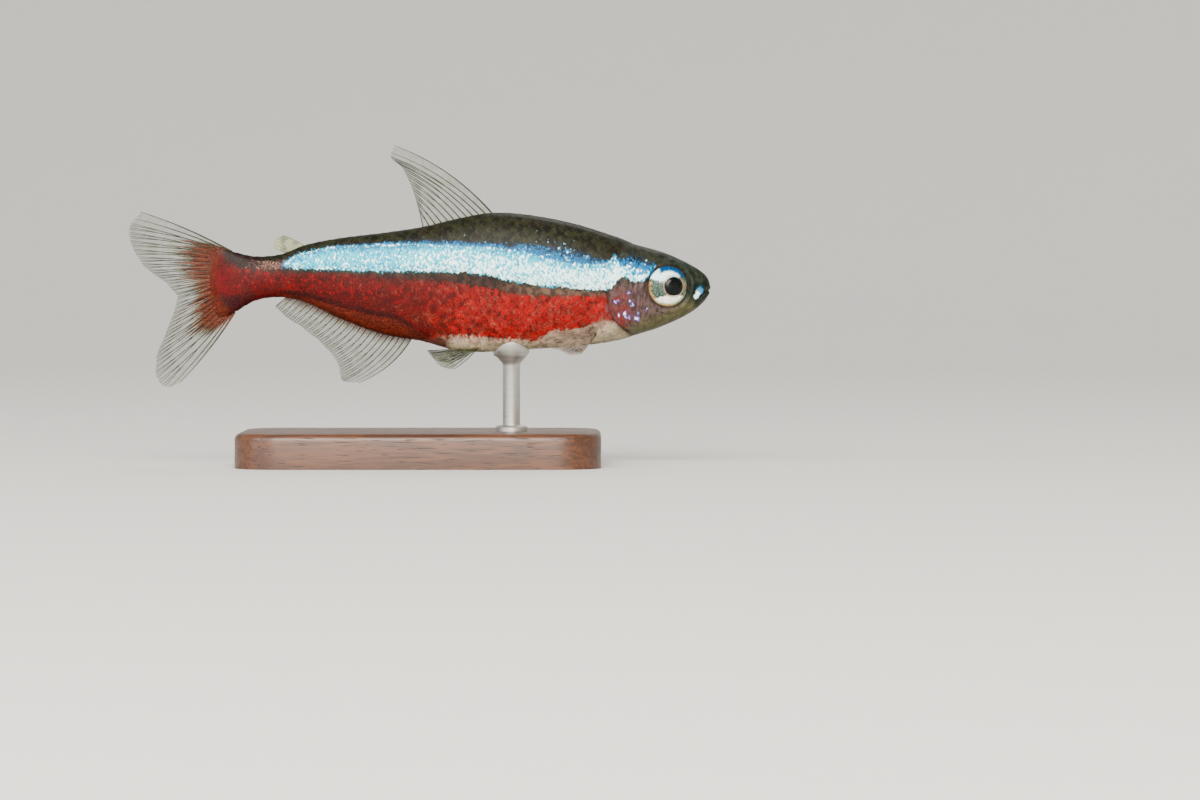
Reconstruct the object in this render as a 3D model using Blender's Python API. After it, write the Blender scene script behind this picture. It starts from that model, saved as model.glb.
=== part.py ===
"""Cardinal tetra, a life-size still model held on a small display stand.

The fish lies along X with its snout towards +X, its right side towards -Y and its back towards +Z.
The origin is on the floor, at the middle of the stand. Sizes are in millimetres and are scaled to
metres as each mesh is made.
"""

import math

import bmesh
import bpy
from mathutils import Vector

MM = 0.001

# Driving dimensions
AXIS_HEIGHT = 12.6  # floor to the line from mouth to tail root
SEAM = 0.3  # gap between neighbouring pieces
SNOUT_X = 20.0
TAIL_ROOT_X = -13.9

# Stations of the body: x, back, belly and half width, with heights measured from the axis
STATIONS = (
    (20.00, -0.18, -0.24, 0.03),  # tip of the lips
    (19.97, 0.02, -0.48, 0.30),
    (19.86, 0.30, -0.86, 0.50),
    (19.58, 0.66, -1.28, 0.74),
    (18.95, 1.10, -1.84, 1.02),  # nostrils
    (18.05, 1.58, -2.38, 1.33),
    (16.95, 2.06, -2.88, 1.60),  # middle of the eye
    (15.20, 2.60, -3.54, 1.90),  # cheek
    (13.20, 3.30, -4.03, 2.14),  # gill cover
    (10.60, 4.10, -4.36, 2.30),
    (7.60, 4.68, -4.55, 2.30),
    (5.05, 4.84, -4.73, 2.18),  # front of the dorsal fin
    (2.70, 4.46, -4.68, 1.98),  # pelvic fins
    (0.20, 3.87, -4.02, 1.70),  # vent
    (-2.60, 3.45, -3.50, 1.38),
    (-5.60, 3.08, -2.40, 1.08),
    (-7.90, 2.62, -1.30, 0.86),  # adipose fin
    (-9.60, 1.98, -0.98, 0.74),
    (-11.30, 1.84, -1.20, 0.64),  # narrowest part of the tail stalk
    (-12.60, 2.10, -1.92, 0.50),
    (-13.40, 2.34, -2.34, 0.38),
    (TAIL_ROOT_X, 2.40, -2.40, 0.28),  # where the tail rays start
)
FULLNESS = 0.84  # 1 is an ellipse, less is a boxier section

# Rear edge of the gill cover
GILL_X = 12.95
GILL_LOW = -1.3  # height of its rearmost point
GILL_RISE = 0.075  # how fast the edge runs forward above that point
GILL_FALL = 0.30  # and below it
GILL_LIP = 0.10  # how far the edge stands proud
GILL_LIP_LENGTH = 0.9
CHEEK_GROOVE_X = 14.75  # groove between the cheek and the gill cover, at the height of its middle
CHEEK_GROOVE_Z = -0.7
CHEEK_GROOVE_BEND = 0.11
CHEEK_GROOVE_LOW = -2.7
CHEEK_GROOVE_HIGH = 1.2
CHEEK_GROOVE_DEPTH = 0.13
CHEEK_GROOVE_WIDTH = 0.24

VENT_X = 0.0  # seam between trunk and tail stalk

# Eyes
EYE_X = 17.05
EYE_Z = -0.22
EYE_SIDE = 1.14  # distance of the eye's equator from the middle plane
EYE_RADIUS = 1.37
EYE_BULGE = 0.70
EYE_BACK = 0.42
EYE_TURN = math.radians(13)  # the eye faces a little forward
EYE_GAP = 0.25
PUPIL_RADIUS = 0.66
PUPIL_SHIFT = 0.22  # the pupil sits forward in the iris
PUPIL_RISE = 0.07
EYE_RIM = 0.07  # raised ring of skin round the socket
EYE_RIM_RADIUS = 1.72
EYE_RIM_WIDTH = 0.26

# Mouth and nostrils
MOUTH_FRONT = (20.4, -0.38)
MOUTH_BEND = (19.62, -0.70)
MOUTH_CORNER = (18.98, -1.42)
MOUTH_OPEN = 0.16
LIP_RISE = 0.10
LIP_DISTANCE = 0.19  # from the mouth line to the crest of each lip
LIP_WIDTH = 0.12
JAW_END = (18.30, -2.02)  # rear end of the upper jaw's bone, which runs on from the mouth's corner
JAW_RISE = 0.08
JAW_WIDTH = 0.14
NOSTRILS = ((19.30, 0.44, 0.12), (18.88, 0.66, 0.16))  # x, z and radius

# Fins
FIN_HALF = 0.25  # half the membrane's thickness
RAY_RIDGE = 0.13  # how far a ray stands out of each face
RAY_SHARE = 0.27  # half a ray's width, as a share of the distance to the next ray
FINE_RIDGE = 0.07  # the same on the small fins
TIP_HALF = 0.10  # half the membrane's thickness at the tips
TIP_SHARE = 0.35  # outer share of a ray that thins
TIP_RIDGE_SHARE = 0.6  # a ridge's height at its tip, as a share of its full height
NOTCH = 0.022  # how far the membrane falls short of its rays, as a share of the ray

# Stand
BASE_LENGTH = 25.0
BASE_WIDTH = 14.0
BASE_THICK = 2.4
BASE_CORNER = 3.0
BASE_BEVEL = 0.4
SOCKET_DEPTH = 1.4
ROD_X = 6.3
ROD_RADIUS = 0.6
SADDLE_RADIUS = 1.25
SADDLE_LIP = 0.25
SADDLE_DEPTH = 0.95


def face_out(bm):
    bm.normal_update()
    bmesh.ops.recalc_face_normals(bm, faces=bm.faces)


def clear_scene():
    for obj in list(bpy.data.objects):
        bpy.data.objects.remove(obj, do_unlink=True)


def turned(profile, segments):
    """A round piece turned from (radius, height) points that start and end on the axis."""
    bm = bmesh.new()
    verts = [bm.verts.new((radius, 0, height)) for radius, height in profile]
    edges = [bm.edges.new(pair) for pair in zip(verts, verts[1:])]
    bmesh.ops.spin(
        bm,
        geom=verts + edges,
        cent=(0, 0, 0),
        axis=(0, 0, 1),
        angle=2 * math.pi,
        steps=segments,
        use_merge=True,
    )
    bmesh.ops.remove_doubles(bm, verts=bm.verts, dist=0.001)
    face_out(bm)
    return bm


def make_material(name, colour, roughness, metallic=0.0):
    material = bpy.data.materials.new(name)
    material.use_nodes = True
    shader = material.node_tree.nodes["Principled BSDF"]
    shader.inputs["Base Color"].default_value = (*colour, 1.0)
    shader.inputs["Roughness"].default_value = roughness
    shader.inputs["Metallic"].default_value = metallic
    return material


def add_object(name, bm, material, smooth_angle=40):
    """Scales a bmesh from millimetres to metres and links it as an object."""
    bmesh.ops.scale(bm, vec=(MM, MM, MM), verts=bm.verts)
    mesh = bpy.data.meshes.new(name)
    bm.to_mesh(mesh)
    bm.free()
    mesh.shade_smooth()
    mesh.set_sharp_from_angle(angle=math.radians(smooth_angle))
    mesh.materials.append(material)
    obj = bpy.data.objects.new(name, mesh)
    bpy.context.scene.collection.objects.link(obj)
    return obj


def add_fish_object(name, bm, material, smooth_angle=40):
    """Lifts a piece of the fish to the axis height."""
    bmesh.ops.translate(bm, verts=bm.verts, vec=(0, 0, AXIS_HEIGHT))
    return add_object(name, bm, material, smooth_angle)


def smooth_path(points):
    """A smooth curve through the points, as a function of a share from 0 to 1 of its length."""
    points = [Vector(p) for p in points]
    knots = [0.0]
    for a, b in zip(points, points[1:]):
        knots.append(knots[-1] + (b - a).length)
    slopes = []
    for i in range(len(points)):
        low, high = max(i - 1, 0), min(i + 1, len(points) - 1)
        slopes.append((points[high] - points[low]) / (knots[high] - knots[low]))

    def at(share):
        s = share * knots[-1]
        i = 0
        while i < len(points) - 2 and s > knots[i + 1]:
            i += 1
        step = knots[i + 1] - knots[i]
        t = (s - knots[i]) / step
        return (
            points[i] * (2 * t**3 - 3 * t**2 + 1)
            + slopes[i] * step * (t**3 - 2 * t**2 + t)
            + points[i + 1] * (3 * t**2 - 2 * t**3)
            + slopes[i + 1] * step * (t**3 - t**2)
        )

    return at


station_at = smooth_path(STATIONS)


def section(x):
    """Back, belly and half width of the body at x."""
    low, high = 0.0, 1.0
    for _ in range(40):
        middle = (low + high) / 2
        if station_at(middle)[0] > x:
            low = middle
        else:
            high = middle
    _, back, belly, half = station_at((low + high) / 2)
    return back, belly, half


def body_point(x, angle, swell=0.0):
    """A point of the body's surface. Angle 0 is the back, 90 degrees the left flank."""
    back, belly, half = section(x)
    middle = (back + belly) / 2
    side = math.sin(angle)
    y = math.copysign(abs(side) ** FULLNESS, side) * (half + swell * abs(side))
    return Vector((x, y, middle + (back - belly) / 2 * math.cos(angle)))


def flank_point(x, z, side, off=0.0):
    """The point of the flank at x and z on one side, moved out by off along the surface's normal."""

    def angle_at(height):
        back, belly, _ = section(x)
        share = (height - (back + belly) / 2) / ((back - belly) / 2)
        return side * math.acos(max(-1.0, min(1.0, share)))

    angle = angle_at(z)
    step = 0.02
    along = body_point(x + step, angle) - body_point(x - step, angle)
    around = body_point(x, angle + step) - body_point(x, angle - step)
    normal = along.cross(around).normalized()
    place = body_point(x, angle)
    if normal.y * side < 0:
        normal = -normal
    return place + normal * off


def bump(distance, width):
    return math.exp(-((distance / width) ** 2))


def line_distance(x, z, line):
    """Distance in side view from a point to a line of points, beyond its ends too."""
    best = math.inf
    for (ax, az), (bx, bz) in zip(line, line[1:]):
        length_squared = (bx - ax) ** 2 + (bz - az) ** 2
        share = ((x - ax) * (bx - ax) + (z - az) * (bz - az)) / length_squared
        share = max(0.0, min(1.0, share))
        best = min(best, math.hypot(x - ax - share * (bx - ax), z - az - share * (bz - az)))
    return best


def head_relief(x, z):
    """How far the head's surface stands out: gill cover, cheek, rim of the eye, jaw and lips."""
    relief = 0.0
    groove_x = CHEEK_GROOVE_X + CHEEK_GROOVE_BEND * (z - CHEEK_GROOVE_Z) ** 2
    if CHEEK_GROOVE_LOW < z < CHEEK_GROOVE_HIGH:
        relief -= CHEEK_GROOVE_DEPTH * bump(x - groove_x, CHEEK_GROOVE_WIDTH)
    from_eye = math.hypot(x - EYE_X, z - EYE_Z)
    relief += EYE_RIM * bump(from_eye - EYE_RIM_RADIUS, EYE_RIM_WIDTH)
    from_mouth = line_distance(x, z, (MOUTH_CORNER, MOUTH_BEND, MOUTH_FRONT))
    relief += LIP_RISE * bump(from_mouth - LIP_DISTANCE, LIP_WIDTH)
    relief += JAW_RISE * bump(line_distance(x, z, (JAW_END, MOUTH_CORNER)), JAW_WIDTH)
    return relief


def gill_edge(angle):
    """x of the gill cover's rear edge at an angle round the body."""
    back, belly, _ = section(GILL_X)
    height = (back + belly) / 2 + (back - belly) / 2 * math.cos(angle)
    rise = height - GILL_LOW
    return GILL_X + (GILL_RISE if rise > 0 else GILL_FALL) * rise**2


def loft(rings):
    """Closed tube through rings of points, each end drawn to a point in its middle."""
    bm = bmesh.new()
    count = len(rings[0])
    verts = bmesh.ops.create_circle(bm, segments=count, radius=1.0)["verts"]
    edges = list(bm.edges)
    for vert, place in zip(verts, rings[0]):
        vert.co = place
    first = verts
    last = verts
    for ring in rings[1:]:
        made = bmesh.ops.extrude_edge_only(bm, edges=edges)["geom"]
        edges = [g for g in made if isinstance(g, bmesh.types.BMEdge)]
        new = [g for g in made if isinstance(g, bmesh.types.BMVert)]
        # The new vertices are paired with the old ones by place
        by_place = {tuple(v.co): v for v in new}
        last = [by_place[tuple(v.co)] for v in last]
        edges = [e for e in edges if e.verts[0] in new and e.verts[1] in new]
        for vert, place in zip(last, ring):
            vert.co = place
    for cap in (first, last):
        bmesh.ops.contextual_create(bm, geom=cap)
    bm.faces.ensure_lookup_table()
    caps = [f for f in bm.faces if len(f.verts) > 4]
    bmesh.ops.poke(bm, faces=caps)
    face_out(bm)
    return bm


def ring_angles(count):
    return [2 * math.pi * i / count for i in range(count)]


def head_rings():
    """Rings from the gill cover's edge to the lips. They lean with the edge, less and less."""
    angles = ring_angles(52)
    shares = [0, 0.03]
    shares += [0.03 + 0.042 * i for i in range(1, 18)]
    shares += [0.744 + 0.026 * i for i in range(1, 9)]
    shares += [0.968, 0.98, 0.99, 0.996]
    rings = []
    for share in shares:
        ring = []
        for angle in angles:
            start = gill_edge(angle) + SEAM / 2
            x = start + (SNOUT_X - start) * share
            plain = body_point(x, angle)
            relief = head_relief(x, plain.z) + GILL_LIP * bump(x - start, GILL_LIP_LENGTH)
            ring.append(body_point(x, angle, relief))
        rings.append(ring)
    return rings


def trunk_rings():
    """Rings from the vent to the seam behind the gill cover."""
    angles = ring_angles(36)
    rings = []
    count = 14
    for i in range(count + 1):
        share = i / count
        ring = []
        for angle in angles:
            start = VENT_X + SEAM / 2
            end = gill_edge(angle) - SEAM / 2
            ring.append(body_point(start + (end - start) * share, angle))
        rings.append(ring)
    return rings


def tail_rings():
    """Rings from the tail rays' root to the vent."""
    angles = ring_angles(28)
    end = VENT_X - SEAM / 2
    shares = (0, 0.035, 0.075, 0.12, 0.17, 0.23, 0.31, 0.40, 0.50, 0.61, 0.73, 0.86, 1)
    return [
        [body_point(TAIL_ROOT_X + (end - TAIL_ROOT_X) * share, a) for a in angles]
        for share in shares
    ]


def eye_profile(grow, rise):
    """Half outline of an eye from the pupil's middle to the back, as (radius, height) points."""
    radius = EYE_RADIUS + grow
    edge = math.degrees(math.asin(PUPIL_RADIUS / radius))
    profile = []
    for degrees in (0, 14, edge - 2, edge + 2, 42, 54, 66, 78, 90, 108, 128, 152, 180):
        turn = math.radians(degrees)
        depth = (EYE_BULGE if degrees < 90 else EYE_BACK) + grow
        height = depth * math.cos(turn) + (rise if degrees < edge else 0.0)
        profile.append((radius * math.sin(turn), height))
    return profile


def eye_bmesh(side, grow, rise):
    """An eye, or with a margin its socket: a flattened ball, deeper outwards than inwards."""
    bm = turned(eye_profile(grow, rise), 28)
    for vert in bm.verts:
        # The profile's axis becomes the direction that the eye looks in
        across, up, out = vert.co
        middle_share = max(0.0, 1 - math.hypot(across, up) / (EYE_RADIUS + grow))
        across += PUPIL_SHIFT * middle_share * (1 if out > 0 else 0)
        x = across * math.cos(EYE_TURN) + out * math.sin(EYE_TURN)
        y = out * math.cos(EYE_TURN) - across * math.sin(EYE_TURN)
        vert.co = (EYE_X + x, side * (EYE_SIDE + y), EYE_Z + up)
    face_out(bm)
    return bm


def mouth_bmesh():
    """A blade that cuts the mouth: a thin curved wedge, right through from cheek to cheek."""
    line = smooth_path((MOUTH_CORNER, MOUTH_BEND, MOUTH_FRONT))
    steps = 6
    bm = bmesh.new()
    outline = []
    for side in (1, -1):
        order = range(steps + 1) if side > 0 else range(steps, 0, -1)
        for i in order:
            share = i / steps
            x, z = line(share)
            half = MOUTH_OPEN / 2 * share**0.5
            outline.append(bm.verts.new((x, -2.5, z + side * half)))
    face = bm.faces.new(outline)
    made = bmesh.ops.extrude_face_region(bm, geom=[face])["geom"]
    verts = [g for g in made if isinstance(g, bmesh.types.BMVert)]
    bmesh.ops.translate(bm, verts=verts, vec=(0, 5, 0))
    face_out(bm)
    return bm


def nostril_bmesh(x, z, radius, side):
    bm = bmesh.new()
    bmesh.ops.create_icosphere(bm, subdivisions=1, radius=radius)
    bmesh.ops.translate(bm, verts=bm.verts, vec=flank_point(x, z, side))
    return bm


def make_head(material):
    head = add_fish_object("head", loft(head_rings()), material)
    cutters = bpy.data.collections.new("head_cutters")
    bpy.context.scene.collection.children.link(cutters)
    shapes = {"mouth_cutter": mouth_bmesh()}
    for side, word in ((-1, "right"), (1, "left")):
        shapes[f"eye_socket_cutter_{word}"] = eye_bmesh(side, EYE_GAP, 0.0)
        for number, (x, z, radius) in enumerate(NOSTRILS):
            name = f"nostril_cutter_{word}_{number}"
            shapes[name] = nostril_bmesh(x, z, radius, side)
    for name, bm in shapes.items():
        cutter = add_fish_object(name, bm, material)
        cutter.hide_render = True
        cutter.display_type = "WIRE"
        bpy.context.scene.collection.objects.unlink(cutter)
        cutters.objects.link(cutter)
    cut = head.modifiers.new("mouth, nostrils and sockets", "BOOLEAN")
    cut.operation = "DIFFERENCE"
    cut.operand_type = "COLLECTION"
    cut.collection = cutters
    cut.solver = "EXACT"
    return head


def rayed_fin(name, root, tips, rays, rows, material, bow=(0, 0, 0), ridge=RAY_RIDGE):
    """A thin fin whose rays run from the root line to the tip line and stand out as ridges.

    root and tips are points from the leading ray to the last one. bow moves the middle of the
    leading ray, and less of each ray after it.
    """
    root_at = smooth_path(root)
    tip_at = smooth_path(tips)
    # Between two crests lie the foot of one ray and the foot of the next
    columns = 3 * (rays - 1)
    offsets = (0, RAY_SHARE, 1 - RAY_SHARE)
    bow = Vector(bow)

    def place(across, along):
        foot = root_at(across)
        end = tip_at(across)
        bulge = bow * (4 * along * (1 - along) * (1 - across) ** 1.5)
        return foot + (end - foot) * along + bulge

    bm = bmesh.new()
    bmesh.ops.create_grid(bm, x_segments=columns, y_segments=rows, size=1.0)
    bmesh.ops.triangulate(bm, faces=bm.faces)
    setting = []
    for vert in bm.verts:
        column = round((vert.co.x + 1) / 2 * columns)
        on_ray = column % 3 == 0
        across = (column // 3 + offsets[column % 3]) / (rays - 1)
        along = (vert.co.y + 1) / 2
        shown = along if on_ray else along * (1 - NOTCH)
        step = 0.01
        side_step = place(min(across + step, 1), shown) - place(max(across - step, 0), shown)
        out_step = place(across, min(shown + step, 1)) - place(across, max(shown - step, 0))
        normal = side_step.cross(out_step).normalized()
        thinning = max(0.0, (along - 1 + TIP_SHARE) / TIP_SHARE)
        half = FIN_HALF + (TIP_HALF - FIN_HALF) * thinning**1.5
        if on_ray:
            half += ridge * (1 - (1 - TIP_RIDGE_SHARE) * along)
        setting.append((place(across, shown), normal * half))
    front = list(bm.verts)
    made = bmesh.ops.extrude_face_region(bm, geom=list(bm.faces))["geom"]
    back = [g for g in made if isinstance(g, bmesh.types.BMVert)]
    # Extruded copies lie on the old vertices until they are moved
    by_place = {tuple(v.co): v for v in back}
    pairs = [(v, by_place[tuple(v.co)]) for v in front]
    for (old, new), (middle, offset) in zip(pairs, setting):
        old.co = middle - offset
        new.co = middle + offset
    face_out(bm)
    return add_fish_object(name, bm, material, smooth_angle=20)


def back_line(x, off=SEAM):
    """A point just over the back, in the middle plane."""
    return Vector((x, 0, section(x)[0] + off))


def belly_line(x, off=SEAM):
    return Vector((x, 0, section(x)[1] - off))


def make_median_fins(material):
    rayed_fin(
        "dorsal_fin",
        [back_line(x) for x in (5.0, 3.9, 2.7, 1.5, 0.4)],
        [
            (-1.85, 0.30, 9.50),  # top of the tip
            (-2.10, 0.30, 8.80),
            (-1.25, 0.26, 7.95),
            (-0.62, 0.20, 6.70),
            (-0.20, 0.10, 5.40),
            (0.02, 0.03, 4.65),
        ],
        rays=11,
        rows=6,
        material=material,
        bow=(0.25, 0.0, 0.50),
    )
    rayed_fin(
        "adipose_fin",
        [back_line(x) for x in (-8.0, -8.45, -8.85)],
        [(-9.45, -0.02, 3.28), (-9.98, -0.04, 2.98), (-10.08, -0.03, 2.48)],
        rays=4,
        rows=4,
        material=material,
        bow=(0.0, 0.0, 0.08),
        ridge=FINE_RIDGE,
    )
    rayed_fin(
        "anal_fin",
        [belly_line(x) for x in (-0.6, -2.4, -4.4, -6.4, -8.0, -9.1)],
        [
            (-4.30, 0.34, -6.92),  # front of the tip
            (-5.40, 0.34, -6.72),
            (-5.62, 0.30, -5.70),
            (-6.60, 0.22, -4.40),
            (-8.10, 0.12, -3.10),
            (-9.25, 0.06, -2.35),
            (-10.00, 0.02, -1.62),
        ],
        rays=21,
        rows=5,
        material=material,
        bow=(0.30, 0.0, -0.30),
    )


def make_tail_fin(material):
    rear = TAIL_ROOT_X - SEAM
    rayed_fin(
        "caudal_fin_upper",
        [(-13.35, 0, 2.74), (-14.0, 0, 2.58), (rear, 0, 1.9), (rear, 0, 0.85), (rear, 0, 0.06)],
        [
            (-19.32, -0.50, 4.93),  # upper tip
            (-19.85, -0.55, 4.20),
            (-20.00, -0.56, 3.30),
            (-19.62, -0.52, 2.05),
            (-18.80, -0.44, 1.00),
            (-17.60, -0.32, 0.15),
            (-16.75, -0.24, -0.62),  # fork
        ],
        rays=11,
        rows=6,
        material=material,
        bow=(0.0, 0.0, 0.06),
    )
    rayed_fin(
        "caudal_fin_lower",
        [(-13.10, 0, -2.66), (-13.9, 0, -2.72), (rear, 0, -2.0), (rear, 0, -1.0), (rear, 0, -0.30)],
        [
            (-16.60, -0.20, -6.92),  # front of the lower tip
            (-17.50, -0.28, -7.25),
            (-18.25, -0.36, -6.50),
            (-18.15, -0.36, -5.10),
            (-17.65, -0.34, -3.70),
            (-17.05, -0.29, -2.35),
            (-16.62, -0.22, -1.16),  # fork
        ],
        rays=11,
        rows=6,
        material=material,
        bow=(0.10, 0.0, -0.05),
    )


def make_paired_fins(material):
    for side, word in ((-1, "right"), (1, "left")):
        rayed_fin(
            f"pectoral_fin_{word}",
            [flank_point(x, z, side, SEAM) for x, z in ((12.55, -3.0), (12.35, -3.3), (12.2, -3.6))],
            [
                (8.15, side * 2.70, -3.70),
                (8.55, side * 2.80, -4.18),
                (9.50, side * 2.75, -4.60),
                (10.35, side * 2.55, -4.90),
                (11.10, side * 2.25, -4.88),
            ],
            rays=9,
            rows=6,
            material=material,
            bow=(0.0, side * 0.12, 0.10),
            ridge=FINE_RIDGE,
        )
        # The left pelvic fin is folded up a little further than the right one
        fold = 0.0 if side < 0 else 0.35
        rayed_fin(
            f"pelvic_fin_{word}",
            [flank_point(x, z, side, SEAM) for x, z in ((4.0, -4.50), (3.65, -4.56), (3.3, -4.62))],
            [
                (2.35 - fold, side * 1.95, -5.95 + fold),
                (1.45 - fold, side * 1.75, -5.72 + fold),
                (0.98 - fold, side * 1.25, -5.20 + fold * 0.7),
                (0.75 - fold, side * 0.70, -4.80 + fold * 0.4),
            ],
            rays=7,
            rows=5,
            material=material,
            bow=(0.10, side * 0.08, -0.05),
            ridge=FINE_RIDGE,
        )


def make_eyes(material):
    for side, word in ((-1, "right"), (1, "left")):
        add_fish_object(f"eye_{word}", eye_bmesh(side, 0.0, PUPIL_RISE), material)


def rounded_plate(length, width, corner, low, high, bevel):
    """A flat plate with round corners and a small bevel round its upper edge."""
    bm = bmesh.new()
    outline = []
    steps = 5
    for quarter in range(4):
        sx = 1 if quarter in (0, 3) else -1
        sy = 1 if quarter in (0, 1) else -1
        for i in range(steps + 1):
            turn = math.pi / 2 * (quarter + i / steps)
            x = sx * (length / 2 - corner) + corner * math.cos(turn)
            y = sy * (width / 2 - corner) + corner * math.sin(turn)
            outline.append(bm.verts.new((x, y, low)))
    face = bm.faces.new(outline)
    made = bmesh.ops.extrude_face_region(bm, geom=[face])["geom"]
    top = [g for g in made if isinstance(g, bmesh.types.BMVert)]
    bmesh.ops.translate(bm, verts=top, vec=(0, 0, high - low))
    rim = [e for e in bm.edges if all(v in top for v in e.verts)]
    bmesh.ops.bevel(
        bm, geom=rim, offset=bevel, segments=2, profile=0.5, affect="EDGES", material=-1
    )
    face_out(bm)
    return bm


def belly_height(x, y):
    """Height of the belly's surface above or below the axis at x and y."""
    back, belly, half = section(x)
    turn = math.asin(min(1.0, (abs(y) / half) ** (1 / FULLNESS)))
    return (back + belly) / 2 - (back - belly) / 2 * math.cos(turn)


def make_stand(wood, steel):
    base_bm = rounded_plate(BASE_LENGTH, BASE_WIDTH, BASE_CORNER, 0, BASE_THICK, BASE_BEVEL)
    base = add_object("stand_base", base_bm, wood)

    # The rod stands in a blind socket in the base
    socket_radius = ROD_RADIUS + SEAM
    socket_low = BASE_THICK - SOCKET_DEPTH
    profile = (
        (0, BASE_THICK + 1),
        (socket_radius, BASE_THICK + 1),
        (socket_radius, socket_low),
        (0, socket_low),
    )
    socket_bm = turned(profile, 24)
    bmesh.ops.translate(socket_bm, verts=socket_bm.verts, vec=(ROD_X, 0, 0))
    socket = add_object("stand_socket_cutter", socket_bm, wood)
    socket.hide_render = True
    socket.display_type = "WIRE"
    cut = base.modifiers.new("rod socket", "BOOLEAN")
    cut.operation = "DIFFERENCE"
    cut.object = socket
    cut.solver = "EXACT"

    saddle_top = AXIS_HEIGHT + section(ROD_X)[1] - SEAM
    rod_low = socket_low + SEAM
    profile = (
        (0, saddle_top),
        (SADDLE_RADIUS * 0.5, saddle_top),
        (SADDLE_RADIUS, saddle_top),
        (SADDLE_RADIUS, saddle_top - SADDLE_LIP),
        (ROD_RADIUS, saddle_top - SADDLE_DEPTH),
        (ROD_RADIUS, rod_low),
        (0, rod_low),
    )
    rod_bm = turned(profile, 24)
    bmesh.ops.translate(rod_bm, verts=rod_bm.verts, vec=(ROD_X, 0, 0))
    # The saddle's upper part follows the curve of the belly
    for vert in rod_bm.verts:
        if vert.co.z > saddle_top - SADDLE_DEPTH / 2:
            rise = belly_height(vert.co.x, vert.co.y) - section(ROD_X)[1]
            vert.co.z += rise
    add_object("stand_rod", rod_bm, steel)


def main():
    clear_scene()
    back = make_material("back_skin", (0.10, 0.09, 0.08), 0.4)
    flank = make_material("flank_skin", (0.55, 0.06, 0.05), 0.4)
    tail = make_material("tail_skin", (0.42, 0.05, 0.04), 0.4)
    membrane = make_material("fin_membrane", (0.45, 0.47, 0.33), 0.4)
    iris = make_material("iris", (0.75, 0.85, 0.82), 0.25)
    wood = make_material("walnut", (0.16, 0.08, 0.04), 0.45)
    steel = make_material("brushed_steel", (0.62, 0.62, 0.60), 0.35, 1.0)

    make_head(back)
    add_fish_object("trunk", loft(trunk_rings()), flank)
    add_fish_object("tail_stalk", loft(tail_rings()), tail)
    make_eyes(iris)
    make_median_fins(membrane)
    make_tail_fin(membrane)
    make_paired_fins(membrane)
    make_stand(wood, steel)


main()
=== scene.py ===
import math
import random

import bmesh
import bpy
import numpy as np
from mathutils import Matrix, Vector


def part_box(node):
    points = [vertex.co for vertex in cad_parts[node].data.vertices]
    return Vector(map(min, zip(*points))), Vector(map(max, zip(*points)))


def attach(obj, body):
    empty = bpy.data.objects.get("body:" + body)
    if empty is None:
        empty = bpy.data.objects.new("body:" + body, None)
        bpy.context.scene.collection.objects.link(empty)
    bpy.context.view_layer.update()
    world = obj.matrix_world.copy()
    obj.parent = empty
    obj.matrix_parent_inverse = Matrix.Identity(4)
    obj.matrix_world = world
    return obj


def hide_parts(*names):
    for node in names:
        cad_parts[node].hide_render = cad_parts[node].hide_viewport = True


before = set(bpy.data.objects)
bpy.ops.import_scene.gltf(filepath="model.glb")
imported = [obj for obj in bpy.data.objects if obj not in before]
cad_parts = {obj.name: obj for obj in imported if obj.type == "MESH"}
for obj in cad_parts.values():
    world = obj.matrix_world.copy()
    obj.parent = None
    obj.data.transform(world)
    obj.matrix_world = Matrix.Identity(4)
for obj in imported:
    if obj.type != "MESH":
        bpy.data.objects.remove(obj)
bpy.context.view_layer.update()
print("frame loaded, nodes:", len(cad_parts))

mm = 0.001  # every size below is in millimetres

# The body's axis runs from the mouth to the tail root. Heights are measured from it.
eyeLow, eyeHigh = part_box("eye_right")
eyeHeight = -0.22
axisHeight = (eyeLow.z + eyeHigh.z) / 2 / mm - eyeHeight

body = {
    # x, back, belly and half width
    "stations": [
        (20.00, -0.18, -0.24, 0.03),  # tip of the lips
        (19.97, 0.02, -0.48, 0.30),
        (19.86, 0.30, -0.86, 0.50),
        (19.58, 0.66, -1.28, 0.74),
        (18.95, 1.10, -1.84, 1.02),  # nostrils
        (18.05, 1.58, -2.38, 1.33),
        (16.95, 2.06, -2.88, 1.60),  # middle of the eye
        (15.20, 2.60, -3.54, 1.90),  # cheek
        (13.20, 3.30, -4.03, 2.14),  # gill cover
        (10.60, 4.10, -4.36, 2.30),
        (7.60, 4.68, -4.55, 2.30),
        (5.05, 4.84, -4.73, 2.18),  # front of the dorsal fin
        (2.70, 4.46, -4.68, 1.98),  # pelvic fins
        (0.20, 3.87, -4.02, 1.70),  # vent
        (-2.60, 3.45, -3.50, 1.38),
        (-5.60, 3.08, -2.40, 1.08),
        (-7.90, 2.62, -1.30, 0.86),  # adipose fin
        (-9.60, 1.98, -0.98, 0.74),
        (-11.30, 1.84, -1.20, 0.64),  # narrowest part of the tail stalk
        (-12.60, 2.10, -1.92, 0.50),
        (-13.40, 2.34, -2.34, 0.34),
        (-13.90, 2.38, -2.40, 0.19),  # where the tail rays start
        (-14.10, 2.22, -2.26, 0.11),
        (-14.24, 1.90, -1.95, 0.03),  # flesh over the feet of the rays
    ],
    "fullness": 0.84,  # 1 is an ellipse, less is a boxier section
    "coat": 0.055,  # the skin lies this far in under the scales
    "tailRound": 0.38,  # how far the flesh's rear edge is rounded in side view
    "tailCut": 0.75,  # and how far it runs forward below
    "tailStart": -12.6,  # where that rounding begins
    "tailHalf": 2.3,  # half the height of the tail root
    "around": 144,
    "bodyRings": 150,
    "headRings": 150,
}

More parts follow.
